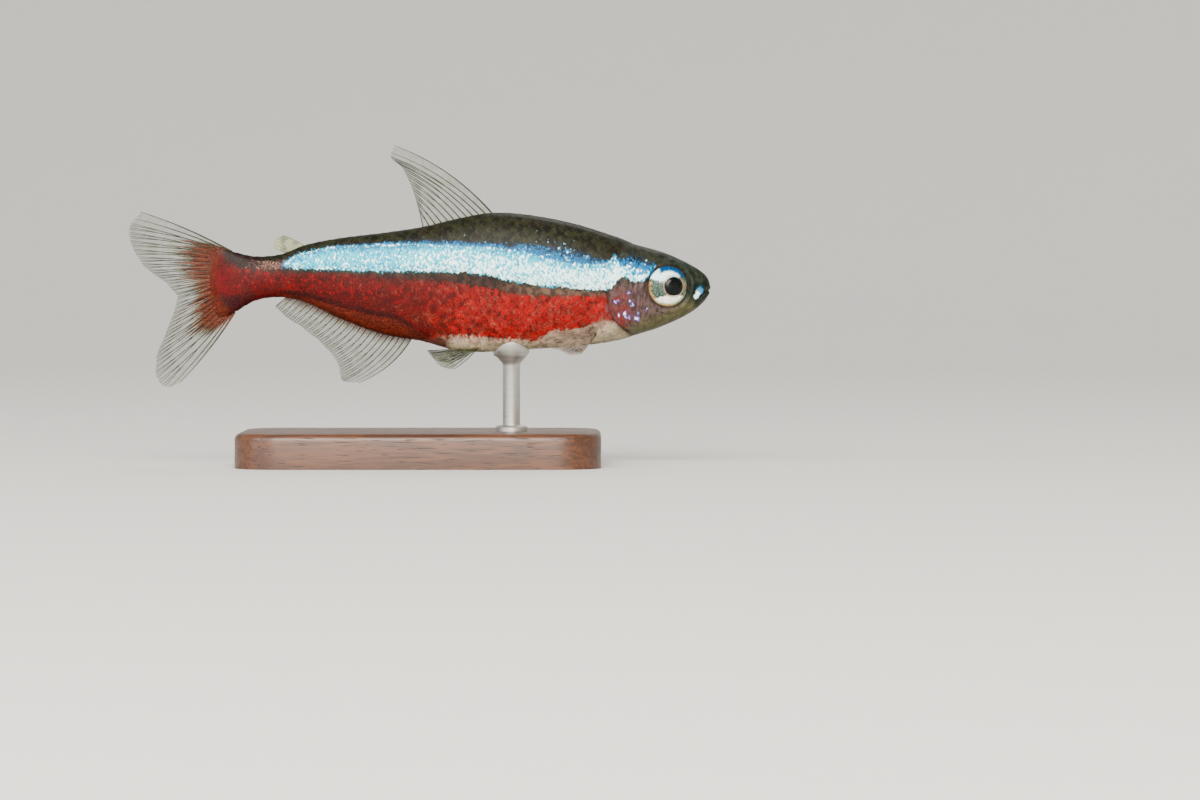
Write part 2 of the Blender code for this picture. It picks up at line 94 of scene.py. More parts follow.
gill = {
    "x": 12.95,  # rearmost point of the gill cover
    "z": -1.3,
    "rise": 0.075,  # how fast its edge runs forward above that point
    "fall": 0.30,
    "lift": 0.10,
    "tuck": 0.24,  # how far the trunk's skin goes in under the edge
    "short": 0.07,  # and how far it stops short of it where there is no slit
    "start": 0.04,  # from the edge to the first ring of the head
    "blend": 1.3,  # the head's skin rises from the coat's depth over this length
    "top": 1.5,
    "bottom": -3.75,
}

head = {
    "grooveX": 14.75,  # groove between the cheek and the gill cover
    "grooveZ": -0.7,
    "grooveBend": 0.11,
    "mouth": [(18.98, -1.42), (19.30, -1.03), (19.62, -0.70), (20.00, -0.48), (20.40, -0.38)],
    "jaw": [(18.25, -2.05), (18.60, -1.78), (18.98, -1.42)],
    "nostrils": [(19.30, 0.44, 0.11), (18.88, 0.66, 0.14)],
    "suture": [(13.15, -1.75), (13.9, -2.2), (14.9, -2.5)],
    "cheekLine": [(15.75, -1.15), (16.2, -1.95), (17.1, -2.25), (18.1, -1.95)],
    # How high each form stands and half its width, a groove is below zero
    "forms": {
        "cheekGroove": (-0.10, 0.16),
        "coverFold": (0.05, 0.2),
        "suture": (-0.05, 0.07),
        "cheekLine": (-0.04, 0.09),
        "lips": (0.05, 0.10),
        "mouth": (-0.075, 0.045),
        "jaw": (0.07, 0.12),
        "eyeRim": (0.06, 0.13),
    },
    "foldBehind": 0.35,  # from the groove to the fold on the gill cover
    "lipWide": 0.16,
}

eye = {
    "x": 17.07,
    "side": 1.30,  # the iris's edge from the middle plane
    "turn": math.radians(13),  # it looks a little forward
    "ball": 1.47,
    "depth": 0.80,
    "back": 0.4,  # how deep the ball goes behind its rim
    "sunk": 0.24,
    "lens": 0.05,  # how far the lens bulges
    "pupil": 0.66,
    "pupilShift": 0.30,
    "seatIn": 1.46,  # the skin lies against the ball inside this radius
    "seatOut": 1.74,  # and is free of it outside this one
}


def smoothPath(points):  # a smooth curve through points, read by shares of its length
    points = np.array([tuple(p) for p in points], float)
    steps = np.linalg.norm(np.diff(points, axis=0), axis=1)
    knots = np.concatenate([[0.0], np.cumsum(steps)])
    slopes = np.empty_like(points)
    for i in range(len(points)):
        low, high = max(i - 1, 0), min(i + 1, len(points) - 1)
        slopes[i] = (points[high] - points[low]) / (knots[high] - knots[low])

    def at(share):
        s = np.atleast_1d(np.asarray(share, float)) * knots[-1]
        i = np.clip(np.searchsorted(knots, s) - 1, 0, len(points) - 2)
        step = knots[i + 1] - knots[i]
        t = ((s - knots[i]) / step)[:, None]
        step = step[:, None]
        return (
            points[i] * (2 * t**3 - 3 * t**2 + 1)
            + slopes[i] * step * (t**3 - 2 * t**2 + t)
            + points[i + 1] * (3 * t**2 - 2 * t**3)
            + slopes[i + 1] * step * (t**3 - t**2)
        )

    return at


stationTable = smoothPath(body["stations"])(np.linspace(0, 1, 1500))[::-1]
snoutX = body["stations"][0][0]
tailX = body["stations"][-1][0]


def section(x):  # back, belly and half width at x
    return [np.interp(x, stationTable[:, 0], stationTable[:, k]) for k in (1, 2, 3)]


def bodyPoint(x, angle, swell=0.0):  # angle 0 is the back, a quarter turn is the left flank
    back, belly, half = section(x)
    side = np.sin(angle)
    y = np.sign(side) * np.abs(side) ** body["fullness"] * (half + swell * np.abs(side))
    z = (back + belly) / 2 + (back - belly) / 2 * np.cos(angle)
    return np.stack(np.broadcast_arrays(x, y, z), -1)


def bodyNormal(x, angle):
    step = 0.02
    along = bodyPoint(x + step, angle) - bodyPoint(x - step, angle)
    around = bodyPoint(x, angle + step) - bodyPoint(x, angle - step)
    normal = np.cross(along, around)
    return normal / np.maximum(np.linalg.norm(normal, axis=-1, keepdims=True), 1e-9)


def flankAngle(x, z, side):  # the angle round the body that has height z at x
    back, belly, _ = section(x)
    share = (z - (back + belly) / 2) / ((back - belly) / 2)
    return side * np.arccos(np.clip(share, -1, 1))


def bump(distance, width):
    return np.exp(-((distance / width) ** 2))


def smoothStep(value, low, high):
    t = np.clip((value - low) / (high - low), 0, 1)
    return t * t * (3 - 2 * t)


def lineDistance(x, z, line):  # distance in side view to a line of points
    best = np.full(np.shape(x), 1e9)
    for (ax, az), (bx, bz) in zip(line, line[1:]):
        share = ((x - ax) * (bx - ax) + (z - az) * (bz - az)) / ((bx - ax) ** 2 + (bz - az) ** 2)
        share = np.clip(share, 0, 1)
        best = np.minimum(best, np.hypot(x - ax - share * (bx - ax), z - az - share * (bz - az)))
    return best


def gillLine(z):  # x of the gill cover's rear edge at height z
    rise = z - gill["z"]
    return gill["x"] + np.where(rise > 0, gill["rise"], gill["fall"]) * rise**2


def gillEdge(angle):  # the same at an angle round the body
    return gillLine(bodyPoint(np.full(np.shape(angle), gill["x"]), angle)[..., 2])


def headRelief(x, z):  # how far the head's skin stands out
    def form(key, distance):
        height, width = head["forms"][key]
        return height * bump(distance, width)

    inGroove = smoothStep(z, -2.9, -2.3) * (1 - smoothStep(z, 0.9, 1.4))
    grooveX = head["grooveX"] + head["grooveBend"] * (z - head["grooveZ"]) ** 2
    relief = inGroove * form("cheekGroove", x - grooveX)
    relief += inGroove * form("coverFold", x - grooveX - head["foldBehind"])
    for key in ("suture", "cheekLine", "jaw"):
        relief += form(key, lineDistance(x, z, head[key]))
    fromMouth = lineDistance(x, z, head["mouth"])
    relief += form("lips", fromMouth - head["lipWide"]) + form("mouth", fromMouth)
    fromEye = np.hypot(x - eye["x"], z - eyeHeight)
    relief += form("eyeRim", fromEye - eye["seatOut"])
    for nx, nz, radius in head["nostrils"]:
        away = np.hypot(x - nx, z - nz)
        relief += 0.012 * bump(away - radius * 1.4, 0.06) - 0.10 * bump(away, radius * 0.8)
    return relief


def eyeFrame(side):  # centre, outward direction and forward direction of an eye
    centre = np.array([eye["x"], side * eye["side"], eyeHeight])
    out = np.array([math.sin(eye["turn"]), side * math.cos(eye["turn"]), 0.0])
    ahead = np.array([math.cos(eye["turn"]), -side * math.sin(eye["turn"]), 0.0])
    return centre, out, ahead


def tailBow(z):  # how far the flesh's rear edge is moved forward at height z
    half = body["tailHalf"]
    return body["tailRound"] * (1 - (z / half) ** 2) - body["tailCut"] * smoothStep(-z, 0.2, half)


def roundTail(x, z):  # the flesh ends in a bow over the feet of the tail's rays
    return x - tailBow(z) * smoothStep(-x, -body["tailStart"], -tailX)


def seatEyes(points):  # lays the skin down into a groove round each eye
    for side in (-1, 1):
        centre, out, ahead = eyeFrame(side)
        offset = points - centre
        height = offset @ out
        away = np.hypot(offset @ ahead, offset[:, 2])
        near = 1 - smoothStep(away, eye["seatIn"], eye["seatOut"])
        near = np.where(points[:, 1] * side > 0, near, 0)
        target = 0.01 - 0.35 * (1 - smoothStep(away, 0.9, 1.3))
        points = points + out * (near * (target - height))[:, None]
    return points


def mappedGrid(columns, rows, place):  # a grid whose corners go where place(u, v) says
    bm = bmesh.new()
    bmesh.ops.create_grid(bm, x_segments=columns, y_segments=rows, size=1.0)
    corners = np.array([v.co[:2] for v in bm.verts])
    shares = (corners + 1) / 2
    places = place(shares[:, 0], shares[:, 1])
    for vert, spot in zip(bm.verts, places):
        vert.co = spot
    return bm, shares


def slab(columns, rows, place):  # a thin closed plate, w is 1 on its outer side
    bm = bmesh.new()
    bmesh.ops.create_grid(bm, x_segments=columns, y_segments=rows, size=1.0)
    made = bmesh.ops.extrude_face_region(bm, geom=list(bm.faces))["geom"]
    upper = [g for g in made if isinstance(g, bmesh.types.BMVert)]
    bmesh.ops.translate(bm, verts=upper, vec=(0, 0, 1))
    shares = np.array([v.co for v in bm.verts])
    shares[:, :2] = (shares[:, :2] + 1) / 2
    for vert, spot in zip(bm.verts, place(*shares.T)):
        vert.co = spot
    bm.normal_update()
    bmesh.ops.recalc_face_normals(bm, faces=bm.faces)
    return bm, shares


def finishPiece(name, mesh, material, nodes=()):  # a mesh in metres becomes a piece of the fish
    mesh.shade_smooth()
    mesh.materials.append(material)
    piece = bpy.data.objects.new(name, mesh)
    bpy.context.scene.collection.objects.link(piece)
    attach(piece, "root")
    if nodes:
        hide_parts(*nodes)
    return piece


def addPiece(name, bm, material, nodes):  # millimetres from the axis in, a finished piece out
    bmesh.ops.translate(bm, verts=bm.verts, vec=(0, 0, axisHeight))
    bmesh.ops.scale(bm, verts=bm.verts, vec=(mm, mm, mm))
    mesh = bpy.data.meshes.new(name)
    bm.to_mesh(mesh)
    bm.free()
    return finishPiece(name, mesh, material, nodes)


def turned(profile, steps, merge):  # a profile of radius and height, spun about the upright axis
    bm = bmesh.new()
    verts = [bm.verts.new((radius, 0, height)) for radius, height in profile]
    edges = [bm.edges.new(pair) for pair in zip(verts, verts[1:])]
    bmesh.ops.spin(
        bm, geom=verts + edges, cent=(0, 0, 0), axis=(0, 0, 1), angle=2 * math.pi, steps=steps, use_merge=True
    )
    bmesh.ops.remove_doubles(bm, verts=bm.verts, dist=merge)
    return bm


# Colours are sRGB hex values
def colour(code):
    parts = [int(code[i : i + 2], 16) / 255 for i in (0, 2, 4)]
    linear = [p / 12.92 if p <= 0.04045 else ((p + 0.055) / 1.055) ** 2.4 for p in parts]
    return (*linear, 1.0)


def addNode(tree, kind, inputs=(), out=0, **settings):  # sets or links a new node's inputs, gives one output
    node = tree.nodes.new("ShaderNode" + kind)
    for key, value in settings.items():
        setattr(node, key, value)
    for key, value in inputs.items() if isinstance(inputs, dict) else enumerate(inputs):
        if isinstance(value, bpy.types.NodeSocket):
            tree.links.new(value, node.inputs[key])
        else:
            node.inputs[key].default_value = colour(value) if isinstance(value, str) else value
    return node.outputs[out]


def newMaterial(name):  # with object coordinates in millimetres from the axis
    material = bpy.data.materials.new(name)
    material.use_nodes = True
    tree = material.node_tree
    spot = addNode(tree, "TexCoord", out="Object")
    inputs = {"Vector": spot, "Scale": (1 / mm,) * 3, "Location": (0, 0, -axisHeight)}
    return material, tree, tree.nodes["Principled BSDF"], addNode(tree, "Mapping", inputs)


def paintMaterial(name, looks):  # layers of colour, each inside its own marking
    material, tree, shader, place = newMaterial(name)
    grains = {}
    for key, (wide, high, detail) in looks["grains"].items():
        spot = addNode(tree, "VectorMath", (place, (1 / wide, 1 / wide, 1 / high)), operation="MULTIPLY")
        if detail:
            grains[key] = addNode(tree, "TexNoise", {"Vector": spot, "Scale": 1.0, "Detail": detail})
        else:  # round spots, 1 in their middles
            away = addNode(tree, "TexVoronoi", {"Vector": spot, "Scale": 1.0}, out="Distance")
            grains[key] = addNode(tree, "Math", (1.0, away), operation="SUBTRACT")
    tones, masks, base = {}, {}, None
    for field, grain, amount, soft, toneGrain, dark, light, strength in looks["layers"]:
        if toneGrain not in tones:
            inputs = (grains[toneGrain], 0.40, 0.60)
            tones[toneGrain] = addNode(tree, "MapRange", inputs, interpolation_type="SMOOTHSTEP")
        paint = addNode(tree, "Mix", {0: tones[toneGrain], 6: dark, 7: light}, out=2, data_type="RGBA")
        if base is None:
            base = paint
            continue
        inside = addNode(tree, "Attribute", out="Fac", attribute_name=field)
        if amount:
            inside = addNode(tree, "Math", (grains[grain], amount, inside), operation="MULTIPLY_ADD")
        inputs = (inside, amount / 2 - soft, amount / 2 + soft, 0.0, strength)
        masks[field] = addNode(tree, "MapRange", inputs, interpolation_type="SMOOTHSTEP")
        base = addNode(tree, "Mix", {0: masks[field], 6: base, 7: paint}, out=2, data_type="RGBA")
    tree.links.new(base, shader.inputs["Base Color"])

    grain, low, high = looks["rough"]
    rough = addNode(tree, "MapRange", (grains[grain], 0.35, 0.65, low, high))
    tree.links.new(rough, shader.inputs["Roughness"])
    if "metal" in looks:
        field, value = looks["metal"]
        metal = addNode(tree, "Math", (masks[field], value), operation="MULTIPLY")
        tree.links.new(metal, shader.inputs["Metallic"])
    if "alpha" in looks:
        grain, low, high, field, value = looks["alpha"]
        clear = addNode(tree, "MapRange", (grains[grain], 0.35, 0.65, low, high))
        if field:
            clear = addNode(tree, "Mix", {0: masks[field], 2: clear, 3: value}, data_type="FLOAT")
        tree.links.new(clear, shader.inputs["Alpha"])
    if "bump" in looks:
        grain, depth = looks["bump"]
        inputs = {"Height": grains[grain], "Strength": 0.4, "Distance": depth * mm}
        tree.links.new(addNode(tree, "Bump", inputs), shader.inputs["Normal"])
    for socket, value in looks["finish"].items():
        shader.inputs[socket].default_value = value
    return material


# Markings. Each line is a list of x and z in millimetres from the axis, as the side view shows it.
markings = {
    "stripeTop": [
        (-9.3, 1.40), (-8.5, 1.90), (-7.3, 2.20), (-6.3, 2.42), (-4.8, 2.54), (-2.3, 2.64), (0.0, 2.66),
        (3.24, 2.50), (5.5, 2.36), (7.2, 2.12), (8.3, 1.86), (9.7, 1.40), (11.5, 1.26), (13.0, 1.36),
        (13.5, 2.00), (13.7, 1.20), (14.3, 1.15), (15.0, 0.92), (15.8, 0.80),
    ],
    "stripeBottom": [
        (-9.3, 1.20), (-8.3, 0.98), (-6.0, 0.98), (-3.9, 0.86), (0.0, 0.83), (3.1, 0.76), (4.8, 0.58),
        (6.1, 0.20), (8.1, -0.10), (12.6, -0.50), (13.2, -0.35), (13.7, 0.30), (14.1, 0.50), (14.6, 0.10),
        (15.3, 0.12), (15.8, 0.50),
    ],
    "blueTop": [
        (-9.3, 1.5), (-6.0, 2.60), (0.0, 2.98), (5.0, 2.80), (8.0, 2.66), (9.7, 2.45), (11.7, 1.88),
        (12.8, 1.62), (14.3, 1.80), (15.2, 1.70), (16.0, 1.35),
    ],
    "redTop": [
        (-14.6, 3.00), (-13.8, 2.60), (-12.9, 1.00), (-12.4, 0.85), (-10.0, 0.62), (-8.3, 0.55), (-5.0, 0.40),
        (-1.4, 0.12), (2.0, -0.05), (3.8, -0.35), (7.6, -1.0), (12.4, -0.95), (13.6, -0.8), (14.6, -1.6),
    ],
    "redBottom": [
        (-14.6, -6.0), (-1.6, -6.0), (-0.7, -3.75), (2.8, -3.50), (7.6, -3.85), (8.4, -3.75), (9.2, -3.15),
        (11.2, -3.05), (12.0, -2.55), (13.2, -2.50), (14.6, -2.0),
    ],
    "maroonTop": [
        (-12.6, -0.9), (-9.5, -0.50), (-7.0, -0.62), (-4.0, -1.15), (-1.5, -1.7), (0.6, -2.7), (1.6, -3.7),
    ],
    "flecks": [
        (-12.6, 0.10), (-11.8, 0.32), (-10.4, 0.30), (-9.0, 0.12), (-7.0, -0.05), (-4.5, -0.35), (-2.0, -0.7),
    ],
    "diagonal": [(-9.6, -0.50), (-7.7, -0.80), (-3.6, -1.91), (-1.7, -2.25), (-0.4, -2.9), (0.8, -3.9)],
}


# Bright crystals on the gill cover, painted as glints of reflected light: x, z and radius
glitter = [
    (14.12, -2.10, 0.20), (14.35, -2.36, 0.16), (14.95, -2.42, 0.20), (15.02, -2.05, 0.10),
    (13.42, -1.32, 0.12), (14.45, -1.22, 0.12), (14.62, -1.52, 0.13), (13.72, -1.20, 0.11),
    (14.40, -0.62, 0.13), (13.70, -2.20, 0.11), (15.60, -1.75, 0.10),
]


def patches(x, z, size):  # slow uneven patches, between -1 and 1
    u, v = x / size, z / size
    return np.sin(2.1 * u + 1.7 * np.sin(1.3 * v)) * np.sin(1.9 * v + 1.5 * np.sin(1.1 * u + 0.6))


def inside(*distances):  # inside all of them, by the smallest distance
    return np.minimum.reduce(np.broadcast_arrays(*distances))


def flankFields(fields, x, z, line):  # red, brown and pale areas below the stripe
    bottom = line["stripeBottom"]
    fields["under"] = bottom - z
    fields["underFront"] = inside(bottom - z, (x - 6.5) * 0.2)
    red = inside(line["redTop"] - z, z - line["redBottom"], 13.9 - x)
    fields["red"] = red
    fields["redVeil"] = inside(red, -0.13 + 0.16 * smoothStep(x, -1, 9) + 0.05 * patches(x, z, 0.8))
    fields["redDeep"] = inside(red + 0.05, -0.05 + 0.07 * patches(x, z, 0.6) + 0.08 * smoothStep(x, 0, 7))
    fields["redRear"] = inside(red + 0.2, 0.34 * smoothStep(-x, -6.5, 6) - 0.18 + 0.06 * patches(x, z, 1.1))
    fields["redBrown"] = inside(red, 0.3 - 0.5 * np.hypot((x + 0.5) / 3.2, (z + 2.9) / 1.3))
    fields["belly"] = inside(line["redBottom"] - z, x + 2.2)
    fields["bellyLow"] = inside(-4.1 - z + 0.38 * np.maximum(x - 10.2, 0), x + 1)
    fields["maroon"] = inside(line["maroonTop"] - z, 2.0 - x)
    fields["keel"] = inside(line["diagonal"] - z - 0.22, x + 9.4, 0.4 - x)
    fields["keelLine"] = inside(0.17 - np.abs(z - line["diagonal"] + 0.05), x + 9.4, -0.4 - x)
    fields["specks"] = inside(bottom - 0.2 - z, x + 1.0, -0.28 + 0.10 * smoothStep(-z, 3.2, 3.8))


def tailFields(fields, x, z, line):
    fromFlecks = np.abs(z - line["flecks"])
    fleckPatch = -0.10 + 0.06 * patches(x, z, 0.5)
    fields["redFlecks"] = inside(0.55 - fromFlecks, -1.0 - x, x + 12.9, fleckPatch)
    fields["tailTop"] = inside(z - 1.00, -10.8 - x, 0.8 * (x + 13.55))
    fields["tailLow"] = inside(-0.78 - z, -11.4 - x, 0.8 * (x + 13.75))
    fields["core"] = 0.55 * (1 - np.hypot((x + 13.3) / 0.75, (z - 0.30) / 1.05))
    fields["feet"] = tailX - tailBow(z) + 0.42 - x
    fading = 0.02 - 0.22 * smoothStep(-x, 9.8, 12.6)
    fields["trail"] = inside(0.18 - np.abs(z - 1.26), x + 12.9, -9.0 - x, fading)


def headFields(fields, x, z):
    edge = gillLine(z)
    fields["head"] = x - edge + 0.02
    fields["cheek"] = inside(0.15 - z, x - edge, (17.6 - x) - 0.9 * (z + 1.6))
    fields["jaw"] = inside(-2.75 - z - 0.42 * (15.0 - x), x - edge)
    fields["snout"] = x + 0.5 * z - 18.15
    coverPatch = 0.9 - np.hypot((x - 14.1) / 1.25, (z + 1.75) / 1.30) + 0.22 * patches(x, z, 0.5)
    fields["cover"] = inside(0.8 * coverPatch, x - edge - 0.05)
    fields["coverRed"] = inside(fields["cover"], 0.30 - 0.45 * (x - 13.5), 0.03 + 0.14 * patches(x, z, 0.4))
    fields["headSpecks"] = inside(fields["cheek"], -0.17)
    fields["crownLight"] = inside(x - 13.4, z - 0.9, -0.10)
    # Painted glints: the cover's crystals as lilac-blue and white sparkles of reflected light
    near = np.maximum.reduce([size - np.hypot(x - gx, z - gz) for gx, gz, size in glitter])
    faint = inside(coverPatch, -0.19 + 0.08 * patches(x, z + 0.4, 0.3))
    fields["sparkCover"] = np.maximum(near - 0.03, faint)
    fields["sparkWhite"] = fields["sparkCover"] - 0.06
    fields["snoutMark"] = 0.16 - lineDistance(x, z, [(19.00, -0.94), (19.10, -0.78), (19.30, -0.46)])
    fields["snoutBlue"] = inside(fields["snoutMark"] + 0.05, x + 0.8 * z - 18.74)


def stripeFields(fields, x, z, line):  # the glittering stripe and the deep blue above it
    top, bottom = line["stripeTop"], line["stripeBottom"]
    blueTop = np.maximum(line["blueTop"], top + 0.10)
    band = np.clip((blueTop - z) / (blueTop - top), -3, 3)
    ends = inside(x + 9.4, 16.1 - x, z - top + 0.35)
    fields["blue"] = inside(ends, -0.07 + 0.32 * band + 0.05 * patches(x, z, 0.5), 0.18)
    fields["blueBright"] = inside(ends, -0.12 + 0.34 * band + 0.06 * patches(x, z, 0.4), 0.16)
    # Painted glints: small white-cyan sparkles of reflected light in the blue band above the stripe
    sparks = -0.22 + 0.09 * patches(x, z, 0.45) + 0.07 * band
    fields["sparkBlue"] = inside(ends, x + 2.0, sparks, -0.09)
    fields["green"] = inside(0.16 - np.abs(z - bottom + 0.07) - 0.06, x + 9.0, 13.4 - x)
    stripe = inside(top - z, z - bottom, (x + 9.3), (15.85 - x))
    high = (z - bottom) / np.maximum(top - bottom, 0.2)
    fields["stripe"] = stripe
    upper = smoothStep(high, 0.45, 1.0)
    cyan = -0.03 + 0.09 * upper + 0.12 * smoothStep(high, 0.75, 1.0) + 0.12 * smoothStep(-x, -4, 4)
    cyan = cyan - 0.05 * smoothStep(x, 5, 11) * (1 - upper)
    fields["cyan"] = inside(stripe, cyan + 0.10 * smoothStep(x, 13.6, 14.4) + 0.03 * patches(x, z, 0.7))
    azure = -0.19 + 0.19 * smoothStep(high, 0.66, 1.0) + 0.16 * smoothStep(x, 13.9, 15.2)
    fields["azure"] = inside(stripe, azure + 0.12 * smoothStep(-x, -3, 3) + 0.03 * patches(x, z, 0.5))
    # Thin upright lines of painted shade where the rows of scales meet
    rows = np.abs((x + 0.10 * z + 0.12 * np.sin(2.6 * z + 1.3 * x)) / 0.62 % 1 - 0.5) * 0.62
    fields["scaleRowShade"] = inside(stripe, 0.055 - rows, 13.2 - x, 0.02 + 0.06 * patches(x, z, 0.6))


# Painted shade: these recesses are darkened in the colour, as the shade that falls in them
def recessShadeField(spots):  # mouth, nostrils, the groove round each eye and the slit behind the gill cover
    x, z = spots[:, 0], spots[:, 2]
    edge = gillLine(z)
    dark = 0.75 * bump(lineDistance(x, z, head["mouth"]), 0.05) * smoothStep(x, 18.9, 19.4)
    for nx, nz, radius in head["nostrils"]:
        dark = np.maximum(dark, 0.95 * bump(np.hypot(x - nx, z - nz), radius * 0.9))
    for side in (-1, 1):
        centre, out, ahead = eyeFrame(side)
        offset = spots - centre
        away = np.hypot(offset @ ahead, offset[:, 2])
        dark = np.maximum(dark, 0.6 * bump(away - 1.47, 0.08) * (spots[:, 1] * side > 0))
    slit = smoothStep(z, gill["bottom"], gill["bottom"] + 0.5) * (1 - smoothStep(z, 0.6, 1.4))
    dark = np.maximum(dark, 0.65 * slit * bump(x - edge + 0.03, 0.07) * (x < edge))
    return dark - 0.45


def bodyFields(spots):  # how far inside each marking every point lies, in millimetres
    x, z = spots[:, 0], spots[:, 2]
    line = {key: np.interp(x, *zip(*points)) for key, points in markings.items()}
    fields = {}
    flankFields(fields, x, z, line)
    tailFields(fields, x, z, line)
    headFields(fields, x, z)
    stripeFields(fields, x, z, line)
    fields["dark"] = recessShadeField(spots)
    return fields


# Wet fish skin under thin clear scales: guanine crystals make the stripe a hard blue-white glitter, whose
# near-white ground is painted reflection; the red below is matt pigment seen through the same clear gloss.
# A grain is a pattern's width, height (mm) and detail, 0 for round spots.
skinLooks = {
    "grains": {
        "streak": (0.17, 0.55, 2.0),
        "fleck": (0.11, 0.11, 2.0),
        "fine": (0.06, 0.07, 2.0),
        "mottle": (0.42, 0.50, 3.0),
        "glint": (0.16, 0.23, 2.0),
        "blot": (0.20, 0.30, 2.0),
        "dots": (0.13, 0.15, 0),
    },
    # marking, grain of its edge, amount (mm), softness (mm), grain of its tone, dark, light, strength
    "layers": [
        ("back", None, 0, 0, "mottle", "0e0f08", "202113", 1),
        ("under", "streak", 0.5, 0.10, "mottle", "1a1310", "342019", 1),
        ("underFront", "streak", 0.5, 0.30, "mottle", "362821", "5a4538", 1),
        ("belly", "mottle", 0.9, 0.12, "mottle", "846b5c", "b09884", 1),
        ("bellyLow", "mottle", 0.6, 0.25, "mottle", "8b8567", "a9a283", 0.7),
        ("red", "streak", 1.2, 0.22, "mottle", "420604", "620d08", 1),
        ("redBrown", "mottle", 1.2, 0.30, "fleck", "4a170b", "7c3015", 0.75),
        ("maroon", "mottle", 1.5, 0.28, "fleck", "270504", "560c09", 0.9),
        ("redVeil", "mottle", 1.0, 0.16, "fleck", "682019", "96463a", 0.65),
        ("redDeep", "blot", 1.0, 0.09, "fine", "760003", "a00205", 0.92),
        ("redRear", "blot", 0.8, 0.16, "fleck", "240303", "480605", 0.85),
        ("keel", "mottle", 0.25, 0.14, "fleck", "360d06", "5c2010", 0.95),
        ("keelLine", "mottle", 0.25, 0.12, "fleck", "190504", "33090a", 0.85),
        ("tailTop", "mottle", 0.9, 0.32, "fleck", "0c0304", "1e090c", 0.92),
        ("tailLow", "mottle", 0.9, 0.32, "fleck", "150406", "32080a", 0.90),
        ("core", "blot", 0.9, 0.20, "fine", "3c0103", "640308", 0.9),
        ("redFlecks", "blot", 1.0, 0.06, "fine", "540003", "80000a", 0.90),
        ("feet", "mottle", 0.9, 0.42, "fleck", "341002", "541c04", 0.95),
        ("trail", "fleck", 1.0, 0.07, "fine", "6e443c", "a47468", 0.6),
        ("specks", "dots", 1.0, 0.06, "fine", "3a2a20", "54443a", 0.55),
        ("head", "mottle", 0.1, 0.10, "mottle", "10120d", "24261d", 1),
        ("crownLight", "streak", 0.9, 0.12, "fine", "2c3126", "40463a", 0.4),
        ("cheek", "mottle", 1.0, 0.40, "streak", "2e2524", "50433f", 1),
        ("cover", "mottle", 1.4, 0.70, "mottle", "3a2729", "563c41", 0.75),
        ("coverRed", "blot", 1.2, 0.30, "fleck", "4c1310", "74201c", 0.85),
        ("jaw", "mottle", 0.9, 0.45, "mottle", "3f3d28", "4f4d32", 0.9),
        ("snout", "mottle", 0.9, 0.40, "mottle", "0e1410", "222a20", 0.95),
        ("headSpecks", "dots", 0.9, 0.08, "fine", "2c2019", "453730", 0.6),
        ("green", "streak", 0.4, 0.08, "mottle", "081a14", "0f3028", 0.85),
        ("blue", "fleck", 1.0, 0.06, "fine", "001c34", "00385c", 0.9),
        ("blueBright", "glint", 1.0, 0.05, "fine", "00406c", "006ca0", 0.95),
        # Painted glints above the stripe
        ("sparkBlue", "glint", 1.0, 0.03, "fine", "30b8dc", "d8fafc", 0.95),
        # Painted reflection: the stripe's near-white ground, under its own cyan and azure flecks
        ("stripe", "streak", 0.55, 0.035, "fleck", "a4eef4", "ffffff", 1),
        ("cyan", "glint", 1.0, 0.05, "fine", "0088ac", "00bcd0", 1),
        ("azure", "glint", 1.0, 0.05, "fine", "005c88", "0080ac", 1),
        # Painted shade along the scale rows in the stripe
        ("scaleRowShade", "glint", 0.5, 0.05, "fine", "0c90a8", "40bccc", 0.9),
        # Painted glints on the gill cover's crystals
        ("sparkCover", "glint", 0.5, 0.04, "fine", "4a3c98", "7a74d0", 0.9),
        ("sparkWhite", "glint", 0.5, 0.04, "fine", "c8d8f8", "ffffff", 1),
        ("snoutMark", "fleck", 0.25, 0.04, "fine", "8fe4f0", "f6ffff", 1),
        ("snoutBlue", "fleck", 0.5, 0.10, "fine", "054466", "0c74a4", 0.95),
        # Painted shade in the mouth, nostrils, eye grooves and gill slit
        ("dark", None, 0, 0.45, "fine", "0b0907", "12100c", 1),
    ],
    "rough": ("fleck", 0.38, 0.58),
    "metal": ("stripe", 0.12),
    "bump": ("fleck", 0.02),
    "finish": {"IOR": 1.38, "Specular IOR Level": 0.14, "Coat Weight": 0.03, "Coat Roughness": 0.22},
}

# On the scales their free edges show too: pale on the back, dark in the red, a fine line of painted shade in
# the stripe
scaleLooks = dict(skinLooks)
scaleLooks["layers"] = skinLooks["layers"] + [
    ("scaleShade", "mottle", 0.4, 0.35, "fine", "120806", "1c100c", 0.30),
    ("rimRed", "fleck", 0.7, 0.25, "fine", "2c0a07", "4a130d", 0.55),
    ("rimStripeShade", "fleck", 0.5, 0.20, "fine", "1c98ac", "58c4d2", 0.8),
    ("rimBack", "fleck", 0.5, 0.35, "fine", "2a2c22", "3c3f32", 0.35),
]


def scaleFields(spots, tone, rim):
    fields = bodyFields(spots)
    z = spots[:, 2]
    lineTop = np.interp(spots[:, 0], *zip(*markings["stripeTop"]))
    fields["scaleShade"] = np.minimum(tone - 0.62, 0.35 - np.maximum(fields["stripe"], -0.3))
    fields["rimBack"] = np.minimum(rim - 0.5, z - lineTop - 0.05)
    fields["rimRed"] = np.minimum(rim - 0.5, fields["red"])
    fields["rimStripeShade"] = np.minimum(rim - 0.5, fields["stripe"])
    return fields


def addFields(piece, fields):
    for name, values in fields.items():
        layer = piece.data.attributes.new(name, "FLOAT", "POINT")
        layer.data.foreach_set("value", np.asarray(values, np.float32))


def pointsOf(piece):  # a piece's corners in millimetres from the axis
    flat = np.empty(len(piece.data.vertices) * 3, np.float32)
    piece.data.vertices.foreach_get("co", flat)
    return flat.reshape(-1, 3) / mm - (0, 0, axisHeight)


